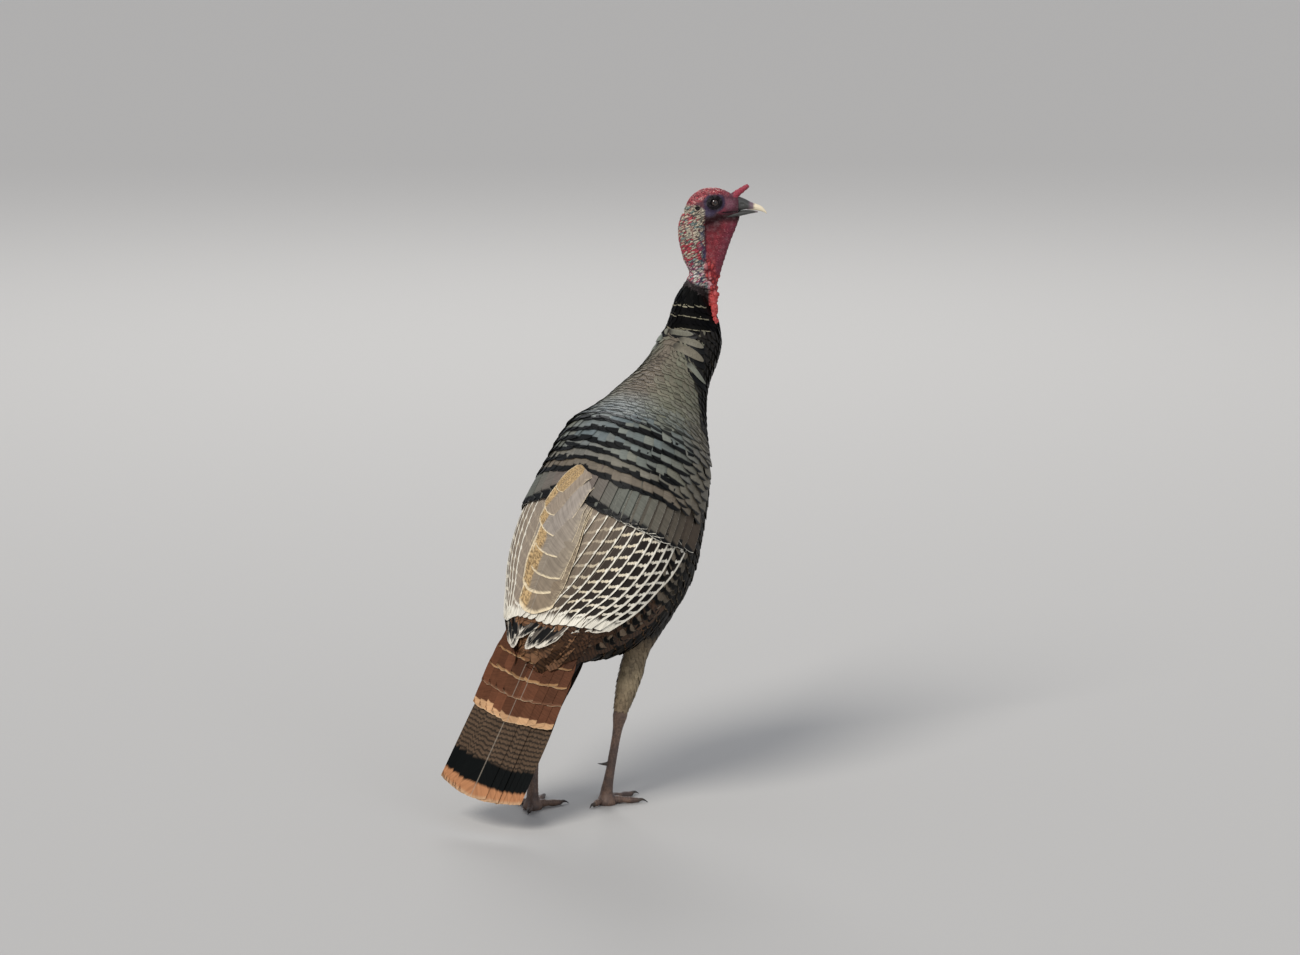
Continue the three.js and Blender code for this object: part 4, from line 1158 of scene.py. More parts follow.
def bare_skin(points, normals):
    """Relief and tones of the bare head and neck: raised points, and a colour for each."""
    f, left, u = head_places(points)
    side = np.sign(left)
    eye = np.hypot((f - EYE_AT[0]) * 0.92, u - EYE_AT[2])
    flank = ease(np.abs(left), 9, 13)

    # where the nape's folded skin meets the smooth face and throat
    border = np.interp(u, (-160, -140, -113, -85, -38, -12, -4, 0), (38, 32, 24, 24, 21, 22, 12, 4))
    nape = ease(border - f, -2.5, 2.5) * ease(u, -1, -6)
    crown_line = np.interp(f, (-10, 2, 18, 27, 50, 60, 70), (-5, -5, 3, 12, 13, 9, 30))
    crown = ease(u - crown_line, -2.5, 2.5)
    throat = ease(u, -27, -38) * (1 - nape)
    low = ease(u, -84, -104) * ease(f, 14, 22) * ease(border + 14 - f + ease(u, -112, -136) * 40, -4, 3)

    # folds of the nape: flat cells that slope down to the front
    middle = np.interp(u + HEAD_BASE[1], STATIONS[:, 1], STATIONS[:, 0]) - HEAD_BASE[0]
    around = np.arctan2(left - middle * head_left[1] * -1, f - middle * head_forward[1] * -1)
    arc = around * 25.0 * -side
    fold, fold_chance = cells(np.stack([arc / 7.6 + 40 * side, (u - 0.42 * arc) / 2.9, 0 * u], 1))
    bead, bead_chance = cells(points / 2.7)
    grain, grain_chance = cells(np.stack([f / 2.3, left / 2.3, u / 1.9], 1))
    knob, knob_chance = cells(points / np.array((7.0, 7.0, 8.0)))
    soft = roughness_at(points, 14.0)
    patch = roughness_at(points + 70.0, 9.0)

    height = nape * (1.2 * ease(fold, 0.0, 0.4) - 0.35)
    height += crown * 1.0 * ease(bead, 0.02, 0.5)
    height += throat * (1 - low) * 0.45 * ease(grain, 0.02, 0.5)
    height += low * (2.1 * ease(knob, 0.0, 0.5) - 0.8)
    face = np.clip(1 - nape - crown - throat, 0, 1)
    height += face * (0.3 * ease(bead, 0.0, 0.5) + 0.35 * soft)
    # the socket, the lids' inner edge and the line of the mouth
    height -= flank * 2.6 * ease(eye, 6.0, 4.2)
    mouth = ease(np.abs(u + 16.0 + (66 - f) * 0.05), 1.5, 0.4) * ease(f, 47, 52) * ease(f, 78, 72)
    height -= 1.3 * mouth
    ear = np.hypot(f - EAR_AT[0], (u - EAR_AT[2]) * 1.1)
    ear = ease(ear, 4.4, 2.4) * ease(np.abs(left), 12, 16)
    height -= 2.2 * ear

    # the face: maroon, mauve before the eye and violet under it
    tone = grade(ease(-u, 8, 24), rgb(84, 46, 56), rgb(50, 17, 22))
    tone = paint(tone, ease(np.hypot((f - 58) * 0.8, u + 3), 13, 5) * 0.9, rgb(120, 72, 86))
    tone = paint(tone, ease(np.hypot((f - 49) * 0.7, u + 13), 8, 3) * 0.8, rgb(128, 58, 72))
    tone = paint(tone, ease(np.hypot((f - 29) * 0.8, u + 14), 12, 5) * 0.85, rgb(80, 74, 98))
    tone = paint(tone, ease(u, 6, 12) * ease(f, 50, 56) * 0.7, rgb(112, 62, 76))
    tone = paint(tone, ease(eye, 17.5, 14), rgb(54, 44, 66))
    # the throat: a painted shadow under the jaw, painted shade in the hollows between its grains, dotted pink
    # in front, with a purple edge
    red = grade(ease(patch, -0.2, 0.3), rgb(146, 54, 62), rgb(126, 42, 50))
    # painted shadow under the jaw
    red = paint(red, ease(-u, 62, 34) * ease(f, 60, 40) * 0.85, rgb(48, 18, 22))
    edge = np.interp(-u, THROAT[:, 0], THROAT[:, 1])
    red = paint(red, ease(edge - f, 24, 5) * 0.8, rgb(120, 54, 70))
    # painted shade in the hollows between the grains
    red = paint(red, ease(grain, 0.3, 0.08) * 0.5, rgb(84, 34, 42))
    dots = ease(grain, 0.3, 0.6) * ease(edge - f, 34, 12) * ease(grain_chance, 0.3, 0.6)
    red = paint(red, dots * 0.6, rgb(188, 118, 122))
    tone = grade(throat, tone, red)

    # the nape: cream and grey-green folds, red ones at the back, navy along the front border; dark valleys
    # between the folds, partly red skin and partly painted shade, and navy painted shadow between the low
    # folds
    cream = grade(ease(fold_chance, 0.5, 0.75), rgb(196, 184, 162), rgb(122, 144, 138))
    # valleys between the folds: dark red skin in places, and painted shade
    valley_red_and_shade = grade(ease(patch, -0.25, 0.15), rgb(96, 40, 46), rgb(42, 44, 48))
    folded = mix(valley_red_and_shade, cream, ease(fold, 0.04, 0.24)[:, None])
    rear = mix(0.08, 0.34, ease(border - f, 14, 30)) * ease(u, -14, -24) + 0.14 * ease(u, -62, -74)
    reds = ease(rear - np.abs(fold_chance - 0.3), -0.02, 0.05) * ease(fold, 0.0, 0.1)
    folded = paint(folded, reds, rgb(176, 68, 78))
    folded = paint(folded, ease(patch, 0.25, 0.45) * ease(u, -60, -76) * 0.7, rgb(160, 62, 96))
    navy_border_and_shadow = ease(border - f, 11, 3) * ease(u, -34, -52) * ease(u, -98, -88)
    # navy painted shadow in the gaps between the low folds
    navy_border_and_shadow = np.maximum(navy_border_and_shadow * ease(patch, -0.4, 0.0), ease(fold, 0.2, 0.05) * ease(u, -88, -98) * 0.9)
    folded = paint(folded, navy_border_and_shadow * 0.75, rgb(48, 66, 98))
    folded = paint(folded, ease(u, -92, -104) * ease(fold, 0.25, 0.45) * 0.6, rgb(220, 222, 226))
    tone = grade(nape, tone, folded)

    # the crown: coral grains, paler ones among them as painted highlights, and painted shade in the hollows
    # between them
    coral = grade(ease(bead_chance, 0.3, 0.8), rgb(190, 90, 94), rgb(226, 168, 162))
    coral = mix(rgb(104, 36, 44), coral, ease(bead, 0.08, 0.36)[:, None])
    coral = paint(coral, ease(f, 42, 56) * 0.75, rgb(122, 62, 74))
    tone = grade(crown, tone, coral)

    # the caruncles: coral knobs down to the wattle, with painted shade in the hollows between them
    coral = grade(ease(knob, 0.02, 0.3), rgb(112, 30, 38), rgb(176, 66, 64))
    coral = paint(coral, ease(knob_chance, 0.7, 0.8) * ease(border - f, -8, -2) * 0.7, rgb(206, 160, 166))
    tone = grade(low * ease(f - border, -6, 2), tone, coral)
    tone = paint(tone, ease(u, -136, -150), rgb(188, 74, 72))
    tone = paint(tone, ease(f, 66, 70) * ease(u, 6, 9), rgb(156, 62, 76))
    tone = paint(tone, ease(eye, 13.4, 10.6) * flank, rgb(7, 6, 9))
    tone = paint(tone, ease(eye, 7.4, 6.2) * flank, rgb(16, 12, 14))
    # painted shade in the crease of the mouth and in the ear's opening
    tone = paint(tone, np.maximum(mouth, ear), rgb(30, 18, 24))
    return points + normals * height[:, None], tone, {"f": f, "left": left, "u": u}


def build_skin(cell):
    """One skin: bare head and neck in full relief, and plain flesh under the coat painted near black as
    shade. With its bristles.
    """
    rows, angles = np.linspace(640, 800, 60), np.arange(64) * 5.625
    here, _, _, out = skin_frame(rows[:, None], angles[None, :])
    inset = ease(rows, 700, 650)[:, None, None] * 3.0
    parts = [sweep(here - out * inset), sweep(head_form(SKULL, 40, 48)), sweep(throat_form(110, 40))]
    for side in (1, -1):
        lid = in_head(EYE_AT[0], (EYE_AT[1] + 3.7) * side, EYE_AT[2])
        parts.append(torus_form(lid, head_left * side + head_forward * 0.16, 7.1, 1.9, 1.12))
        ear = in_head(EAR_AT[0], EAR_AT[1] * side, EAR_AT[2])
        parts.append(torus_form(ear, head_left * side, 4.6, 1.5))
    for k in range(8):
        spot = in_head(mix(24, 36, k / 7), (-6, 5)[k % 2], mix(-88, -146, k / 7))
        parts.append(blob_form(spot, (6.5, 6.5, 6.0)))
    for k in range(6):
        spot = in_head(37.5 + (-1.0, 1.0)[k % 2], -3 - 1.4 * k, mix(-140, -191, k / 5))
        parts.append(blob_form(spot, (6.5, mix(7.2, 5.6, k / 5), 8.5)))
    k = np.linspace(0, 1, 26)[:, None]
    s, c = ring_angles(20)
    radius = mix(5.9, 3.6, k) * (1 + 0.07 * np.sin(k * 26)) * np.sqrt(np.clip((1.04 - k) / 0.1, 0.12, 1))
    snood = in_head(mix(68, 92, k) - 0.6 * c * radius, s * radius, mix(8, 26, k**0.9) + 0.8 * c * radius)
    parts.append(sweep(snood))
    points, faces, normals = fused(parts, cell, 2)
    raised, tone, at = bare_skin(points, normals)

    body_rows, body_angles = np.linspace(0, 662, 60), np.arange(48) * 7.5
    here, _, _, out = skin_frame(body_rows[:, None], body_angles[None, :])
    plain = [sweep(here - out * 6.0)]
    for leg in LEGS.values():
        plain.append(sweep(limb_form(leg["hip"], leg["hock"], THIGH, 24, 20, 2.5)))
    d = np.linspace(-26, 100, 10)[:, None]
    s, c = ring_angles(20)
    plain.append(sweep(in_tail(d, s * mix(70, 48, (d + 26) / 126), -18 + c * mix(16, 8, (d + 26) / 126))))
    hidden, hidden_faces = join_parts(plain)
    all_points, all_faces = join_parts([(raised, faces), (hidden, hidden_faces)])
    # painted shade: the skin under the coat, and the neck's skin below the bare line, are painted near black
    # so the gaps between feathers read as shadow
    painted_shade = np.tile(rgb(30, 26, 23), (len(hidden), 1))
    shade_under_coat = ease((points - BARE_LINE) @ BARE_UP, 2, -4)[:, None] * ease(at["f"], 32, 27)[:, None]
    tone = mix(tone, rgb(36, 30, 28), shade_under_coat)
    tone = np.concatenate([tone, painted_shade])
    skin_piece = closed_piece("skin", all_points, all_faces, "Bare skin", tone=tone)
    return [skin_piece, build_bristles(raised, normals, at)]


def build_bristles(points, normals, at):
    """Sparse hair-like bristles round the ear and on the crown and nape."""
    rng = np.random.default_rng(81)
    f, u = at["f"], at["u"]
    near_ear = np.hypot(f - 10, u + 10) < 8.5
    back = (f < 26) & (u > -130) & (u < 18)
    chance = np.where(near_ear, 0.035, np.where(back, 0.0022, 0.0))
    pick = rng.random(len(points)) < chance
    root, out = points[pick], normals[pick]
    count, steps = len(root), 4
    share = np.linspace(0, 1, steps)[None, :, None]
    down = unit(np.array((0.0, 0.0, -1.0)) - head_forward * 0.8 + rng.normal(0, 0.25, (count, 3)))
    length = rng.uniform(4.0, 7.5, count)[:, None, None]
    lie = unit(down - out * np.sum(down * out, -1, keepdims=True))[:, None, :]
    run = root[:, None, :] + lie * length * share + out[:, None, :] * (0.2 + 1.6 * share)
    facing = np.repeat(out[:, None, :], steps, 1)
    zero = np.zeros(count)
    guides = finish_guides(run, facing, np.full(count, 0.24), 0, zero + 880, zero, rng)
    guides["bake"][:, 0] = 0.5 + at["left"][pick] / 900
    guides["bake"][:, 1] = 0.9 + f[pick] / 1200
    look(guides, rgb(30, 26, 24), rgb(20, 18, 16), rgb(24, 20, 18), 0.1, 0.0)
    return lay_vanes("head_bristles", guides, patch=0.001)


def build_eye(side):
    """One eye: a smooth ball with its iris facing out."""
    s = SIDES[side]
    axis = unit(head_left * s + head_forward * 0.14)
    flat = unit(np.cross(UP, axis))
    rise = np.cross(axis, flat)
    polar = np.linspace(0.03, math.pi - 0.03, 44)[:, None]
    si, co = ring_angles(48)
    centre = in_head(EYE_AT[0], EYE_AT[1] * s, EYE_AT[2])
    ball = EYE_RADIUS * (
        axis * np.cos(polar)[..., None]
        + flat * (np.sin(polar) * si)[..., None]
        + rise * (np.sin(polar) * co)[..., None]
    )
    points, faces = sweep(centre + ball)
    ring = np.degrees(np.arccos(np.clip((points - centre) @ axis / EYE_RADIUS, -1, 1))) / 46
    return closed_piece(f"eyeball_{side}", points, faces, "Eye", ring=ring)


def build_bill(name, rows, dark_to, pits=False):
    """One half of the bill, paler towards its tip."""
    points, faces = sweep(head_form(rows, 64, 44))
    f, left, u = head_places(points)
    centre = between(rows, f)
    inward = unit(np.stack([left, u - (centre[:, 1] + centre[:, 2]) / 2], 1))
    depth = 0.12 * roughness_at(points, 3.0)
    if pits:
        # the nostril lies in a soft hollow, under a low rim
        pit = np.hypot((f - 82.0) / 4.2, (u + 3.2 + (f - 82) * 0.25) / 1.7)
        depth = depth + 1.7 * ease(pit, 1.0, 0.5) + 0.5 * ease(np.hypot((f - 80) / 9, (u + 3.5) / 5), 1, 0.4)
        depth = depth - 0.45 * ease(np.abs(pit - 1.25), 0.3, 0.0) * ease(u, -4.5, -2.5)
        depth = depth + 0.35 * ease(np.abs(u - centre[:, 2] - 3.2), 1.2, 0.2) * ease(f, 116, 104)
    points = points - depth[:, None] * (head_left * inward[:, :1] + UP * inward[:, 1:])
    share = (f - dark_to) / 18.0
    if pits:
        share = share + 0.38 * ease(u - centre[:, 2], 2.6, 1.2) * ease(f, 72, 80)
        # the nostril's hollow is painted darker, as shade
        share = share - 0.5 * ease(pit, 1.1, 0.7)
    return closed_piece(name, points, faces, "Bill horn", share=np.clip(share, -1, 1))


def toe_ways(leg, s, turn):
    """The unit ways along and across a toe."""
    heading = math.radians(leg["yaw"] * s - turn * s)
    way = np.array((math.sin(heading), -math.cos(heading), 0))
    return way, np.array((-way[1], way[0], 0))


def toe_form(leg, s, spec, claw, steps, sides):
    """Rings of one toe, or of its claw."""
    length, turn, thick = spec
    base = at3((leg["ankle"][0], leg["ankle"][1], 0))
    way, across = toe_ways(leg, s, turn)
    start, end = (1 - CLAW_SHARE, 1) if claw else (0, 1 - CLAW_SHARE)
    share = np.linspace(0, 1, steps)[:, None]
    d = mix(start, end, share)
    rise = 10 * (1 - d) ** 2 if turn > 90 else 3 * (1 - d) ** 3
    if claw:
        radius = mix(3.9, 0.5, share**0.8)
        middle = mix(4.1, 0.9, share**1.4) + 2.4 * np.sin(np.pi * share)
    else:
        radius = mix(thick, 4.5, d / end) * (1 + 0.1 * np.cos(d * 22))
        middle = mix(thick * 1.05, 4.4, d / end)
    si, co = ring_angles(sides)
    z = np.maximum(0.0, middle + rise + co * radius)
    start_at = base + way * (0.35 if claw else 0)
    points = start_at + way * (d * length + 0 * co)[..., None] + across * (si * radius)[..., None]
    points[..., 2] = z
    return points, share


def build_foot(side):
    """Shank and toes as one scaled skin, and the claws and spur."""
    leg = LEGS[side]
    s = SIDES[side]
    parts = [sweep(limb_form(leg["hock"], leg["ankle"], SHANK, 60, 28))]
    parts += [sweep(toe_form(leg, s, spec, False, 40, 24)[0]) for spec in TOES.values()]
    share = np.linspace(0, 1, 12)[:, None]
    si, co = ring_angles(28)
    radius = np.interp(share, np.linspace(0, 1, 6), (15, 16, 14.5, 12, 10.5, 9.6))
    x, y, top = leg["ankle"]
    pad = np.stack([x + si * radius, -(y + co * radius), share * top + 0 * si], -1)
    parts.append(sweep(pad))
    knee, ankle, way, across, fore = limb_axes(leg["hock"], leg["ankle"])
    spur_root = mix(knee, ankle, 0.66)
    spur_way = unit(np.array((-0.5 * s, 0.84, -0.12)))
    k = np.linspace(0, 1, 24)[:, None]
    radius = mix(5.0, 0.4, k**0.7)
    spur = spur_root + spur_way * (3 + k * 20 + 0 * si)[..., None]
    spur = spur + np.stack([si * radius, 0 * si * radius, co * radius + 3.5 * k**2], -1)
    parts.append(sweep(spur[:6]))
    points, faces, normals = fused(parts, 1.05, 2)

    rel = points - knee
    down = rel @ way
    angle = np.degrees(np.arctan2(rel @ across, rel @ fore))
    shank = ease(points[:, 2], 20, 27)
    border = lambda x: ease(0.5 - np.abs(x % 1 - 0.5), 0.13, 0.03)
    front = ease(np.abs(angle), 78, 68)
    plates = border(down / 6.4 + np.where(angle > 0, 0.5, 0.0) + np.abs(angle) / 300)
    plates = np.maximum(plates, ease(np.abs(angle), 5, 1.5))
    web, _ = cells(points / np.array((3.4, 3.4, 3.8)))
    web = ease(web, 0.2, 0.04)
    base = at3((leg["ankle"][0], leg["ankle"][1], 0))
    run, near = np.zeros(len(points)), np.full(len(points), 1e9)
    for _, turn, _ in TOES.values():
        toe_way, toe_side = toe_ways(leg, s, turn)
        ahead = (points - base) @ toe_way
        aside = np.abs((points - base) @ toe_side)
        aside = np.where(ahead > 3, aside, 1e6)
        run, near = np.where(aside < near, ahead, run), np.minimum(near, aside)
    bands = border(run / 4.3) * ease(normals[:, 2], 0.1, 0.45) * ease(run, 12, 18)
    bands = np.maximum(bands, web * ease(normals[:, 2], 0.4, 0.1) * 0.7)
    joint = mix(bands, mix(web * 0.8, plates, front), shank)
    joint = joint * ease(down, 4, 12)
    raised = points - normals * (0.55 * joint)[:, None]
    raised[:, 2] = np.maximum(raised[:, 2], 0.0)
    foot = closed_piece(f"leg_{side}", raised, faces, "Leg scales", joint=joint)

    horn, shares = [], []
    for spec in TOES.values():
        rings, share = toe_form(leg, s, spec, True, 24, 20)
        horn.append(sweep(rings))
        shares.append(np.concatenate([np.repeat(share[:, 0], 20), (0, 1)]))
    horn.append(sweep(spur[3:]))
    shares.append(np.concatenate([np.repeat(k[3:, 0], 28), (0, 1)]))
    points, faces = join_parts(horn)
    share = np.concatenate(shares)
    return foot, closed_piece(f"claws_{side}", points, faces, "Claw horn", share=share)


# ---------------------------------------------------------------- the coat
def black_border(angle):
    """Along the body, where the black neck gives way to the grey-green mantle."""
    rows = (0, 30, 50, 62, 78, 90, 100, 130, 180), (612, 604, 580, 560, 526, 484, 440, 370, 300)
    return np.interp(np.abs(angle), *rows)


# Tones of the back by place along the body.
BACK_TONES = (
    (0, CHESTNUT),
    (60, RUST),
    (200, BROWN_GREY),
    (300, BROWN_GREY),
    (360, SLATE),
    (430, SLATE),
    (470, BROWN_GREY),
    (640, BROWN_GREY),
)


def coat_colours(guides, along, angle, fringe=0.0):
    """Colours of the small body feathers by their place."""
    wide = np.abs(angle)
    chance = guides["rng"].random((2, len(along)))
    base = tints(BACK_TONES, along)
    green = mix(0.45, 1.0, chance[0]) * ease(wide, 8, 42)
    base = grade(green * ease(along, 300, 340), base, OLIVE)
    blue = chance[1] * ease(along, 310, 350) * ease(along, 440, 405)
    base = mix(base, rgb(100, 112, 116), blue[:, None] * 0.8)
    rear = ease(wide, 66, 92) * ease(along, 470, 430)
    base = mix(base, rgb(128, 118, 102), rear[:, None] * 0.7)
    under = np.maximum(ease(along - black_border(angle), -4, 6), ease(wide, 101, 110))[:, None]
    base = mix(base, SOOT, under)
    edge = mix(rgb(60, 54, 46), rgb(96, 86, 70), under)
    warm = ease(along, 220, 90)[:, None] * ease(wide, 150, 110)[:, None] * under
    edge = mix(edge, rgb(104, 72, 44), warm)
    return look(guides, base, BLACK, edge, 0.2, fringe, 0.08)


def build_neck_coat():
    """Black neck feathers, with thin pale edges, down to the mantle."""
    along, angle = scatter(np.arange(778, 596, -8.5), 8.5, -180, 180)
    f, _, u = head_places(skin(along, angle))
    keep = u < np.interp(f, (-20, 1, 21, 31, 36, 50), (-112, -124, -137, -152, -168, -192))
    along, angle = along[keep], angle[keep]
    small = ease(along, 650, 740)
    guides = coat_guides(along, angle, mix(32, 19, small), mix(13, 6.5, small), (-4, 0.7), 11, 0.3)
    plain = ease(along, 690, 706) + ease(np.abs(angle), 60, 90)
    arcs = np.min(np.abs(along[:, None] - np.array((642.0, 659.0, 676.0))), axis=1) < 3
    arcs = arcs * np.clip(1 - plain, 0, 1)
    tip = grade(arcs > 0.4, rgb(9, 9, 10), rgb(150, 144, 122))
    look(guides, rgb(13, 13, 12), tip, SOOT, np.where(arcs > 0.4, 0.05, 0.3), 0.0)
    return lay_vanes("coat_neck", guides)


# The large grey-green feathers where neck and mantle meet: along and angle of the root,
# along and angle of the tip, half width.
OVALS = np.array(
    [
        (606, 34, 604, -34, 5),
        (590, 10, 577, -62, 6.5),
        (569, 14, 555, -76, 8),
        (546, -36, 522, -94, 5),
    ],
    float,
)


def build_mantle_coat():
    """Fine brown rows of the upper back, and large grey-green feathers against the black."""
    along, angle = scatter(np.arange(628, 440, -5.6), 17.0, -122, 122)
    side = ease(np.abs(angle), 34, 60)
    guides = coat_guides(along, angle, mix(30, 32, side), mix(16, 14, side), (-4.0, 1.9), 12, 0.3)
    coat_colours(guides, along - 26, angle)
    looks = guides["looks"]
    looks["band"] = 0.05 * (1 + guides["rng"].normal(0, 0.3, len(along)))
    looks["tip"] = np.where(looks["base"] < 0.02, looks["tip"], looks["base"] * 0.36)
    fine = lay_vanes("coat_mantle", guides)
    left = OVALS * (1, 0, 1, -1, 1) + (-3, 24, 0, 0, 0)
    both = np.concatenate([OVALS, left])
    black = both + np.array([(-8, 0, -8, 0, 2)]) + np.sign(both[:, 3:4]) * (0, 0, 0, 5, 0)
    root_at, root_angle, tip, tip_angle, half = np.concatenate([both, black]).T
    under = np.repeat((0.0, 1.0), len(both))
    high = np.array((-3.0, 2.8, 5.4)) - under[:, None] * (0, 1.0, 1.4)
    guides = quill_guides(
        np.stack([root_at, root_angle], 1), np.stack([tip, tip_angle], 1), high, half, 0.0, 0, 8, 22
    )
    green = grade(guides["rng"].random(len(tip)), rgb(124, 116, 100), rgb(132, 138, 126))
    green = grade(under, green, BLACK)
    look(guides, green, green * 0.9, BLACK, 0.1, 0.05, 0.05)
    ovals = lay_vanes("coat_ovals", guides)
    return fine, ovals


# Places along the body where the rows of the shoulder end.
SHOULDER_TIPS = (441, 434, 427, 419, 410, 400, 387, 372, 356, 339, 321, 303)


def build_shoulder_coat():
    """Rows of broad wing coverts and scapulars with long black tips."""
    found = []
    for number, tip in enumerate(SHOULDER_TIPS):
        found.append(scatter([tip + 44.0, tip + 44.0], mix(20.0, 29.0, number / 11), -106, 106))
    along, angle = np.concatenate(found, axis=1)
    pair = np.concatenate([np.repeat((0, 1), (f.shape[1] // 2, f.shape[1] - f.shape[1] // 2)) for f in found])
    rear = ease(np.abs(angle), 60, 90)
    along = along + 9 * rear * (pair - 0.5)
    along = along + np.interp(np.abs(angle), (0, 38, 66, 88, 100), (0, -8, -8, 0, 4))
    grown = ease(along, 466, 424)
    half, lift = mix(mix(16, 24, grown), 15, rear), (-6.0, mix(2.0, 3.6, grown)[:, None])
    guides = coat_guides(along, angle, 46, half, lift, 13, 0.5)
    coat_colours(guides, along - 42, angle)
    looks = guides["looks"]
    uneven = 1 + guides["rng"].normal(0, 0.14, len(along))
    looks["band"] = mix(0.05, 0.2, grown) * mix(1, 0.5, rear) * uneven
    faint = ((1 - grown) * (1 - ease(np.abs(angle), 96, 104)))[:, None]
    looks["tip"] = mix(looks["tip"], looks["base"] * 0.4, faint)
    return lay_vanes("coat_shoulder", guides)


def build_breast_coat():
    """Black and bronze feathers of the breast, flanks and belly."""
    pieces = []
    for name, rows, low, high, seed in (
        ("coat_breast", np.arange(612, 300, -15.0), 96, 264, 14),
        ("coat_belly", np.arange(308, 24, -15.0), 92, 268, 15),
    ):
        along, angle = scatter(rows, 16.0, low, high)
        angle = (angle + 180) % 360 - 180
        guides = coat_guides(along, angle, 46, 15, (-5, 1.6), seed, 0.6)
        coat_colours(guides, along - 30, angle, 0.035)
        pieces.append(lay_vanes(name, guides))
    return pieces


def wing_edge(angle):
    """Along the body, the lower edge of the folded wing."""
    return np.interp(np.abs(angle), (0, 32, 74, 84, 88, 92, 98, 106), (53, 58, 76, 90, 168, 211, 258, 300))


def build_rump_coat():
    """Rust feathers of the rump with dark green bars."""
    along, angle = scatter(np.arange(190, 10, -12.0), 19.0, -104, 104)
    keep = along < wing_edge(angle) + 46
    along, angle = along[keep], angle[keep]
    guides = coat_guides(along, angle, 44, 21, (-6, 0.8), 16, 0.25)
    chance = guides["rng"].random((2, len(along)))
    base = grade(chance[0], rgb(142, 104, 72), rgb(120, 84, 58))
    base = mix(base, rgb(64, 42, 26), ease(np.abs(angle), 44, 66)[:, None] * 0.85)
    edge = grade(ease(chance[1], 0.5, 0.9), base, rgb(150, 108, 68))
    look(guides, base, base * 0.3, edge, 0.035, 0.0, bars=0.8 * ease(chance[1], 0.1, 0.5))
    return lay_vanes("coat_rump", guides)


# Tones of the thigh's feathers from the hip (0) to the hock (1).
LEG_TONES = (
    (0, SOOT),
    (0.33, SOOT),
    (0.42, rgb(120, 104, 82)),
    (0.75, rgb(170, 152, 122)),
    (1, rgb(140, 120, 96)),
)


def build_leg_coat(side):
    """Soft grey-brown feathers of the thigh, down to the hock."""
    leg = LEGS[side]
    length = np.linalg.norm(at3(leg["hock"]) - at3(leg["hip"]))
    found = [
        (np.full(16, row), (np.arange(16) + (number % 2) / 2) * 22.5 - 180)
        for number, row in enumerate(np.arange(10, length - 10, 6.0))
    ]
    along, angle = (np.concatenate(v) for v in zip(*found))
    share = along / length
    size = mix(24, 15, ease(share, 0.3, 0.9))
    surface = {"surface": lambda a, b: thigh_frame(leg, a, b), "extra": lambda a, b: 0}
    guides = coat_guides(length - along, angle, size, size * 0.24, (-1.5, 1.0), 17, 0.8, **surface)
    base = tints(LEG_TONES, share)
    look(guides, base, base * 0.8, base * 1.12, 0.12, 0.03, 0.14)
    guides["bake"][:, 0] = (0.06 if side == "left" else 0.94) + angle / 3600
    guides["bake"][:, 1] = 0.1 + 0.3 * share
    return lay_vanes(f"coat_leg_{side}", guides)


def ridge(along):
    """Where the folded wings meet."""
    return between(RIDGE, np.clip(along, 40, 440))[..., 1]


WING_TILT = math.atan(0.16)  # a quill's lean over the next one
# Tones of the wing's feathers from the back (0) to the flank (1).
COVERT_TONES = (
    (0, rgb(118, 108, 100)),
    (0.3, rgb(100, 104, 95)),
    (0.6, rgb(98, 93, 82)),
    (1, rgb(86, 73, 60)),
)
SECONDARY_TONES = (
    (0, rgb(154, 140, 124)),
    (0.25, rgb(132, 118, 102)),
    (0.42, rgb(62, 52, 44)),
    (0.6, rgb(34, 27, 22)),
    (1, rgb(28, 22, 18)),
)
SECONDARY_BARS = ((0, rgb(164, 150, 132)), (0.25, rgb(170, 156, 134)), (0.45, PALE), (1, WHITE))
TERTIAL_TONES = (
    (0, rgb(156, 134, 106)),
    (0.3, rgb(162, 152, 142)),
    (0.6, rgb(154, 142, 126)),
    (1, rgb(142, 126, 106)),
)
# Rows: along the body of the tertial's tip, half width.
TERTIALS = np.array([(262, 14), (232, 23), (202, 33), (164, 41), (124, 45), (88, 47), (60, 47)], float)
# Rows: along the body, degrees from the ridge to the tertials' inner edges.
TERTIAL_EDGE = ((60, 88, 124, 164, 202, 240, 276, 300), (16, 15, 11, 11, 15, 14, 5, 0))


def build_greater_coverts(side, s):
    """Broad plates with black ends across the folded wing."""
    k = np.linspace(0, 1, 13)
    angle = s * mix(8, 99, k)
    tip = np.interp(k, (0, 0.15, 0.5, 0.85, 1), (262, 250, 240, 238, 252))
    tip = tip + np.random.default_rng(31).normal(0, 1.0, len(k))
    ends = np.stack([tip + 82, angle], 1), np.stack([tip, angle - s * 1.5], 1)
    guides = quill_guides(*ends, (-1.0, 3.2, 9.4), 23, -s * 0.03, cell=0.25)
    look(guides, tints(COVERT_TONES, k), BLACK, WHITE, 0.125, 0.014 * ease(k, 0.3, 0.5), 0.03)
    return lay_vanes(f"greater_coverts_{side}", guides)


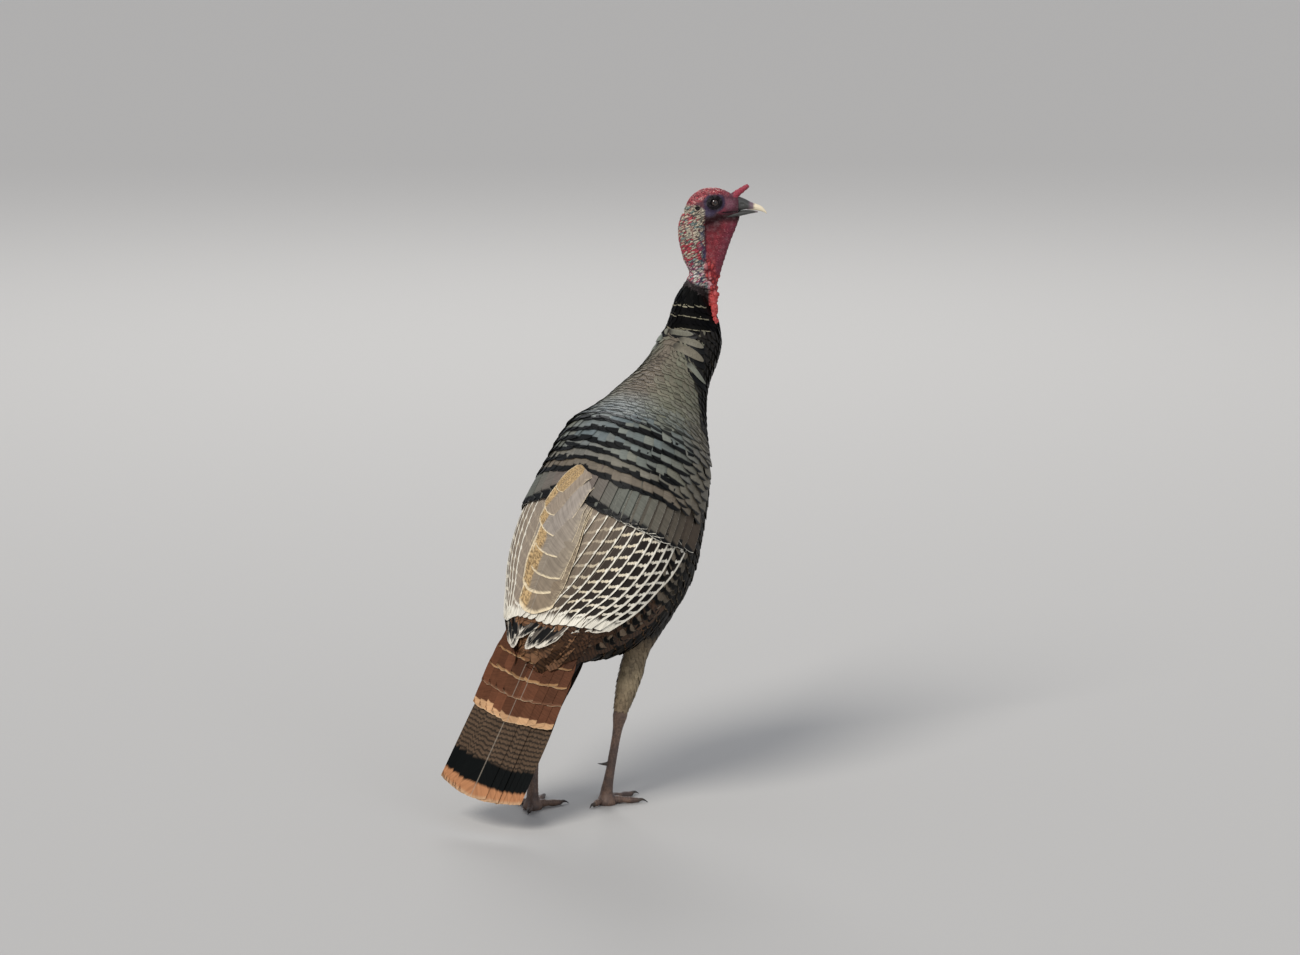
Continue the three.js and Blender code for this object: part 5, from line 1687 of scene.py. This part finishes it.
def build_secondaries(side, s):
    """Plain and grey-brown near the back, black with white bars towards the flank."""
    k = np.linspace(0, 1, 12)
    root = np.stack([mix(284, 300, k), s * mix(18, 99.5, k)], 1)
    tip_angle = mix(20.0, -76.0, k**1.1) if s < 0 else mix(28.0, 80.0, k)
    tip = np.stack([np.interp(k, (0, 0.4, 0.75, 1), (55, 52, 64, 80)), tip_angle], 1)
    lift = np.array((0.5, 4.2, 7.0)) + (1 - k)[:, None] * np.array((0, 1.5, 1.5))
    guides = quill_guides(root, tip, lift, 15.0, -s * WING_TILT, s * 3 * k, 18, cell=0.25)
    tones = tints(SECONDARY_TONES, k), tints(SECONDARY_BARS, k)
    look(guides, *tones, WHITE, 0.0, mix(0.12, 0.21, k), 0.04, -s, 10.5)
    return lay_vanes(f"secondaries_{side}", guides)


def build_tertials(side, s):
    """The innermost quills, one over the other, along the ridge. The right wing lies on top."""
    tips, half = TERTIALS.T
    root_at = np.clip(tips + 92, 268, 304)
    clear = []
    for at in (root_at, tips):
        edge = ridge(at) + np.interp(at, *TERTIAL_EDGE)
        step = np.linalg.norm(skin_frame(at, edge + s * 4)[2], axis=-1)
        clear.append(edge + s * (half - (1.0 if s < 0 else 1.7 * half)) / step)
    rank = np.arange(len(tips))[:, None]
    lift = np.array((4.0, 15.0, 15.6)) - rank * np.array((0.3, 0.75, 0.7)) - (7 if s > 0 else 0)
    ends = np.stack([root_at, clear[0]], 1), np.stack([tips, clear[1]], 1)
    guides = quill_guides(*ends, lift, half, -s * 0.03, 0, 16, cell=0.33)
    k = np.linspace(0, 1, len(tips))
    gold, rim = rgb(204, 172, 124), rgb(232, 214, 180)
    look(guides, tints(TERTIAL_TONES, k), gold, rim, 0.0, 0.06, 0.04, -s, 0.9 * (k < 0.1) * (s < 0))
    return lay_vanes(f"tertials_{side}", guides)


def build_primaries(side, s):
    """The ends of the primaries, which show below the secondaries."""
    k = np.linspace(0, 1, 6)
    shares = (0, 0.2, 0.4, 0.6, 1)
    root = np.stack([np.full(6, 262.0), s * mix(40, 88, k)], 1)
    tip_angle = np.interp(k, shares, (8, -8, -24, -40, -66)) if s < 0 else mix(24.0, 62.0, k)
    tip = np.stack([np.interp(k, shares, (16, 6, 10, 34, 60)), tip_angle], 1)
    guides = quill_guides(root, tip, (0.5, 1.6, 4.0), 19, -s * WING_TILT, 0, 16, cell=0.33)
    # past the secondaries they run on straight, off the body's curve
    for step in range(12, 16):
        guides["points"][:, step] = guides["points"][:, step - 1] * 2 - guides["points"][:, step - 2]
    tones = rgb(14, 14, 13), rgb(92, 84, 76), rgb(224, 216, 200)
    look(guides, *tones, 0.0, 0.06, 0.05, -s, 3.2)
    return lay_vanes(f"primaries_{side}", guides)


def build_wing(side):
    """Greater coverts, tertials, secondaries and primaries of one folded wing."""
    s = SIDES[side]
    parts = (build_greater_coverts, build_secondaries, build_tertials, build_primaries)
    return [build(side, s) for build in parts]


# Rows of coverts on the tail: count, start, length, lift at root and end, share of the fan, half
# width, colour of the end, its share and the strength of the bars.
TAIL_COVERTS = (
    (9, 44, 92, (6.0, 3.6), 0.98, 22, rgb(198, 156, 116), 0.13, 0.0),
    (8, 14, 84, (7.5, 6.4), 0.98, 23, rgb(112, 76, 56), 0.05, 0.1),
    (8, -6, 74, (8.5, 8.8), 0.96, 22, rgb(160, 122, 84), 0.06, 0.4),
    (8, -30, 68, (6.0, 11.0), 0.92, 21, rgb(150, 112, 76), 0.05, 0.6),
)
UNDERTAIL_COVERTS = (
    (12, 0, 108, (-22, -11), 0.9),
    (11, -30, 96, (-30, -19), 0.88),
    (9, -52, 80, (-34, -27), 0.8),
)


def build_tail():
    """Eighteen tail feathers, with the coverts above and below."""
    pieces = []
    place = np.repeat((0.34, 0.52, 0.68, 0.8, 0.89, 0.95, 0.98, 1.0), 2) * np.tile((1, -1), 8)
    across = np.concatenate([(-0.1, 0.14), place])
    length = TAIL_LENGTH - 16 - 13 * across**2
    half = np.full(18, 19.0)
    half[:4] = (27, 25, 23, 23)
    tilt = np.where(across > 0, 0.07, -0.07)
    tilt[:2] = 0.0
    guides = tail_guides(across, 16, length, half, (-3.5, -1.6), tilt, 51, 10, cell=0.2)
    for rank, lift in ((0, 3.4), (1, 2.4), (2, 1.2), (3, 1.2)):
        guides["points"][rank] += tail_up * lift
    look(guides, rgb(94, 76, 60), rgb(9, 12, 12), rgb(178, 124, 86), 0.25, 0.095, 0.03, bars=0.75)
    for key, even in (("band", 0.25), ("fringe", 0.095)):
        guides["looks"][key] = mix(even, guides["looks"][key], 0.15)
    pieces.append(lay_vanes("rectrices", guides))

    rows = []
    for number, (count, start, size, high, width, half, end, band, bars) in enumerate(TAIL_COVERTS):
        place = width * np.linspace(-1, 1, count)
        tilt = np.clip(place * 3, -1, 1) * 0.05
        size = size - 8 * np.abs(place)
        row = tail_guides(place, start, size, half, high, tilt, 52 + number, 7)
        chest = grade(row["rng"].random(count), rgb(106, 66, 46), rgb(92, 58, 40))
        look(row, chest, end, end, band, 0.02, bars=bars)
        rows.append(row)
    pieces.append(lay_vanes("tail_coverts", join_guides(rows)))

    rows = []
    for number, (count, start, size, high, width) in enumerate(UNDERTAIL_COVERTS):
        place = width * np.linspace(-1, 1, count)
        row = tail_guides(place, start, size, 15, high, place * -0.12, 61 + number, 7)
        row["out"] = -row["out"]
        look(row, rgb(40, 34, 30), rgb(20, 20, 18), rgb(96, 66, 46), 0.2, 0.03)
        rows.append(row)
    pieces.append(lay_vanes("undertail_coverts", join_guides(rows)))
    return pieces


def build_beard():
    """The beard: coarse black bristles hanging from the breast."""
    rng = np.random.default_rng(71)
    count, steps = 90, 8
    here, _, _, out = skin_frame(438.0, 180.0)
    share = np.linspace(0, 1, steps)[None, :]
    fan = rng.uniform(-1, 1, count)[:, None]
    depth = rng.uniform(-1, 1, count)[:, None]
    length = (rng.uniform(104, 132, count)[:, None] - 14 * fan**2) * share
    forward = -4 + depth * mix(2.0, 4.0, share) + 19 * np.sin(np.minimum(1, share * 1.6) * 1.4)
    points = here + out * forward[..., None]
    points = points + np.stack([fan * mix(4.0, 13.0, share), 0 * length, -length], -1)
    twist = rng.uniform(0, math.pi, count)
    facing = np.stack([np.cos(twist), -np.sin(twist), 0 * twist], -1)[:, None, :] + np.zeros((1, steps, 3))
    bake_at = np.full(count, 180.0)
    guides = finish_guides(points, facing, np.full(count, 0.9), 0, np.full(count, 438.0), bake_at, rng)
    guides["bake"][:, 0] = 0.5 + fan[:, 0] * 0.02
    guides["bake"][:, 1] = 0.54 + depth[:, 0] * 0.02
    look(guides, rgb(26, 22, 20), rgb(40, 28, 20), rgb(30, 24, 20), 0.1, 0.0)
    return lay_vanes("beard_bristles", guides)


# ---------------------------------------------------------------- the add-on
def finish_piece(obj, nodes):
    """Rides with the bird and stands for its CAD nodes, which it hides."""
    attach(obj, "root")
    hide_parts(*nodes)
    return obj


class TurkeyLook(bpy.types.PropertyGroup):
    """Sizes and colours that the panel offers."""

    skin_cell: FloatProperty(
        name="Skin detail",
        description="Cell size of the head's skin",
        default=0.00095,
        min=0.0005,
        unit="LENGTH",
    )
    floor_size: FloatProperty(
        name="Floor", description="Side of the floor under the bird", default=90.0, min=2.0, unit="LENGTH"
    )
    floor_color: FloatVectorProperty(
        name="Floor colour",
        description="Colour of the floor",
        default=(0.5, 0.49, 0.47),
        size=3,
        subtype="COLOR",
        min=0.0,
        max=1.0,
    )
    key_power: FloatProperty(
        name="Key light", description="Strength of the large soft light", default=2.3, min=0.0
    )


SKIN_NODES = (
    "torso",
    "neck_feathered",
    "neck_bare",
    "head",
    "throat_wattle",
    "snood",
    "thigh_left",
    "thigh_right",
)


class TURKEY_OT_skin(bpy.types.Operator):
    """Builds the skin of head, neck, body and thighs"""

    bl_idname = "turkey.skin"
    bl_label = "Skin"

    def execute(self, context):
        skin_piece, bristles = build_skin(context.scene.turkey.skin_cell * 1000)
        finish_piece(skin_piece, SKIN_NODES)
        finish_piece(bristles, ("head",))
        return {"FINISHED"}


class TURKEY_OT_head_parts(bpy.types.Operator):
    """Builds the eyes and the bill"""

    bl_idname = "turkey.head_parts"
    bl_label = "Eyes and bill"

    def execute(self, context):
        for side in SIDES:
            finish_piece(build_eye(side), (f"eye_{side}",))
        finish_piece(build_bill("upper_bill", BILL_UPPER, 90.0, True), ("bill_upper",))
        finish_piece(build_bill("lower_bill", BILL_LOWER, 100.0), ("bill_lower",))
        return {"FINISHED"}


class TURKEY_OT_feet(bpy.types.Operator):
    """Builds the scaled legs, the claws and the spurs"""

    bl_idname = "turkey.feet"
    bl_label = "Legs and claws"

    def execute(self, context):
        for side in SIDES:
            foot, claws = build_foot(side)
            finish_piece(foot, (f"shank_{side}", f"foot_{side}"))
            finish_piece(claws, [f"claw_{toe}_{side}" for toe in TOES])
        return {"FINISHED"}


class TURKEY_OT_coat(bpy.types.Operator):
    """Lays the small feathers of neck, body and thighs, and the beard"""

    bl_idname = "turkey.coat"
    bl_label = "Body coat"

    def execute(self, context):
        finish_piece(build_neck_coat(), ("neck_feathered",))
        for piece in build_mantle_coat():
            finish_piece(piece, ("torso", "neck_feathered"))
        finish_piece(build_shoulder_coat(), ("torso", "wing_left", "wing_right"))
        for piece in build_breast_coat():
            finish_piece(piece, ("torso",))
        finish_piece(build_rump_coat(), ("torso",))
        for side in SIDES:
            finish_piece(build_leg_coat(side), (f"thigh_{side}",))
        finish_piece(build_beard(), ("beard",))
        return {"FINISHED"}


class TURKEY_OT_wings(bpy.types.Operator):
    """Lays the coverts and quills of the folded wings"""

    bl_idname = "turkey.wings"
    bl_label = "Wings"

    def execute(self, context):
        for side in SIDES:
            for piece in build_wing(side):
                finish_piece(piece, (f"wing_{side}",))
        return {"FINISHED"}


class TURKEY_OT_tail(bpy.types.Operator):
    """Lays the tail feathers and their coverts"""

    bl_idname = "turkey.tail"
    bl_label = "Tail"

    def execute(self, context):
        for piece in build_tail():
            finish_piece(piece, ("tail",))
        return {"FINISHED"}


class TURKEY_OT_stage(bpy.types.Operator):
    """Sets up the floor, the soft light and the camera"""

    bl_idname = "turkey.stage"
    bl_label = "Stage"

    def execute(self, context):
        build_stage(context.scene.turkey)
        return {"FINISHED"}


def aim_at(obj, way):
    """Turns a light or camera to look along a way."""
    obj.rotation_euler = way.to_track_quat("-Z", "Y").to_euler()


def area_light(name, place, aim, size, power, color=(1.0, 1.0, 1.0)):
    """A soft square light aimed at a point."""
    light = bpy.data.lights.new(name, "AREA")
    light.size = size
    light.energy = power
    light.color = color
    obj = add_object(name, light)
    obj.location = place
    aim_at(obj, Vector(aim) - Vector(place))


def build_stage(look_at):
    """A pale floor, soft lights and the camera."""
    half = look_at.floor_size / 2
    corners = [(-half, -half, 0), (half, -half, 0), (half, half, 0), (-half, half, 0)]
    floor = mesh_object("floor", corners, [(0, 1, 2, 3)], [material("Floor")], smooth=False)
    material("Floor").node_tree.nodes["Principled BSDF"].inputs["Base Color"].default_value = rgba(
        look_at.floor_color
    )
    bpy.context.scene.view_settings.view_transform = "Standard"
    world = bpy.data.worlds.new("Studio")
    bpy.context.scene.world = world
    world.use_nodes = True
    background = world.node_tree.nodes["Background"]
    background.inputs[0].default_value = (0.86, 0.9, 1.0, 1.0)
    background.inputs[1].default_value = 0.42
    aim = (0.0, 0.0, 0.45)
    sun = bpy.data.lights.new("key", "SUN")
    sun.energy = look_at.key_power
    sun.angle = math.radians(24)
    sun.color = (1.0, 0.97, 0.93)
    aim_at(add_object("key", sun), Vector((0.18, -0.72, -0.67)))
    area_light("fill", (-9.0, 2.0, 4.0), aim, 5.0, 90.0, (0.92, 0.96, 1.0))
    area_light("rim", (5.0, -4.6, 5.4), aim, 3.0, 160.0)

    camera = bpy.data.cameras.new("camera")
    camera.sensor_width = 36.0
    camera.lens = CAMERA_FOCUS * 36.0 / FRAME_WIDTH
    camera.shift_y = CAMERA_SHIFT / FRAME_WIDTH
    camera.clip_end = 100.0
    obj = add_object("camera", camera)
    obj.location = Vector(CAMERA_PLACE) + Vector(SHIFT)
    down = math.radians(CAMERA_DOWN)
    turn = math.radians(CAMERA_TURN)
    way = Vector((math.sin(turn) * math.cos(down), -math.cos(turn) * math.cos(down), -math.sin(down)))
    aim_at(obj, way)
    bpy.context.scene.camera = obj


class TURKEY_PT_panel(bpy.types.Panel):
    """Sizes, colours and the builders"""

    bl_idname = "TURKEY_PT_panel"
    bl_label = "Turkey"
    bl_space_type = "VIEW_3D"
    bl_region_type = "UI"
    bl_category = "Turkey"

    def draw(self, context):
        for key in TurkeyLook.__annotations__:
            self.layout.prop(context.scene.turkey, key)
        for operator in OPERATORS:
            self.layout.operator(operator.bl_idname)


OPERATORS = (
    TURKEY_OT_skin,
    TURKEY_OT_head_parts,
    TURKEY_OT_feet,
    TURKEY_OT_coat,
    TURKEY_OT_wings,
    TURKEY_OT_tail,
    TURKEY_OT_stage,
)
CLASSES = (TurkeyLook, *OPERATORS, TURKEY_PT_panel)


def register():
    """Adds the classes and the scene's settings."""
    for cls in CLASSES:
        bpy.utils.register_class(cls)
    bpy.types.Scene.turkey = PointerProperty(type=TurkeyLook)


def unregister():
    """Takes them away again."""
    del bpy.types.Scene.turkey
    for cls in reversed(CLASSES):
        bpy.utils.unregister_class(cls)


def main():
    """Builds the bird and its stage."""
    register()
    for operator in OPERATORS:
        group, name = operator.bl_idname.split(".")
        getattr(getattr(bpy.ops, group), name)()


if __name__ == "__main__":
    main()
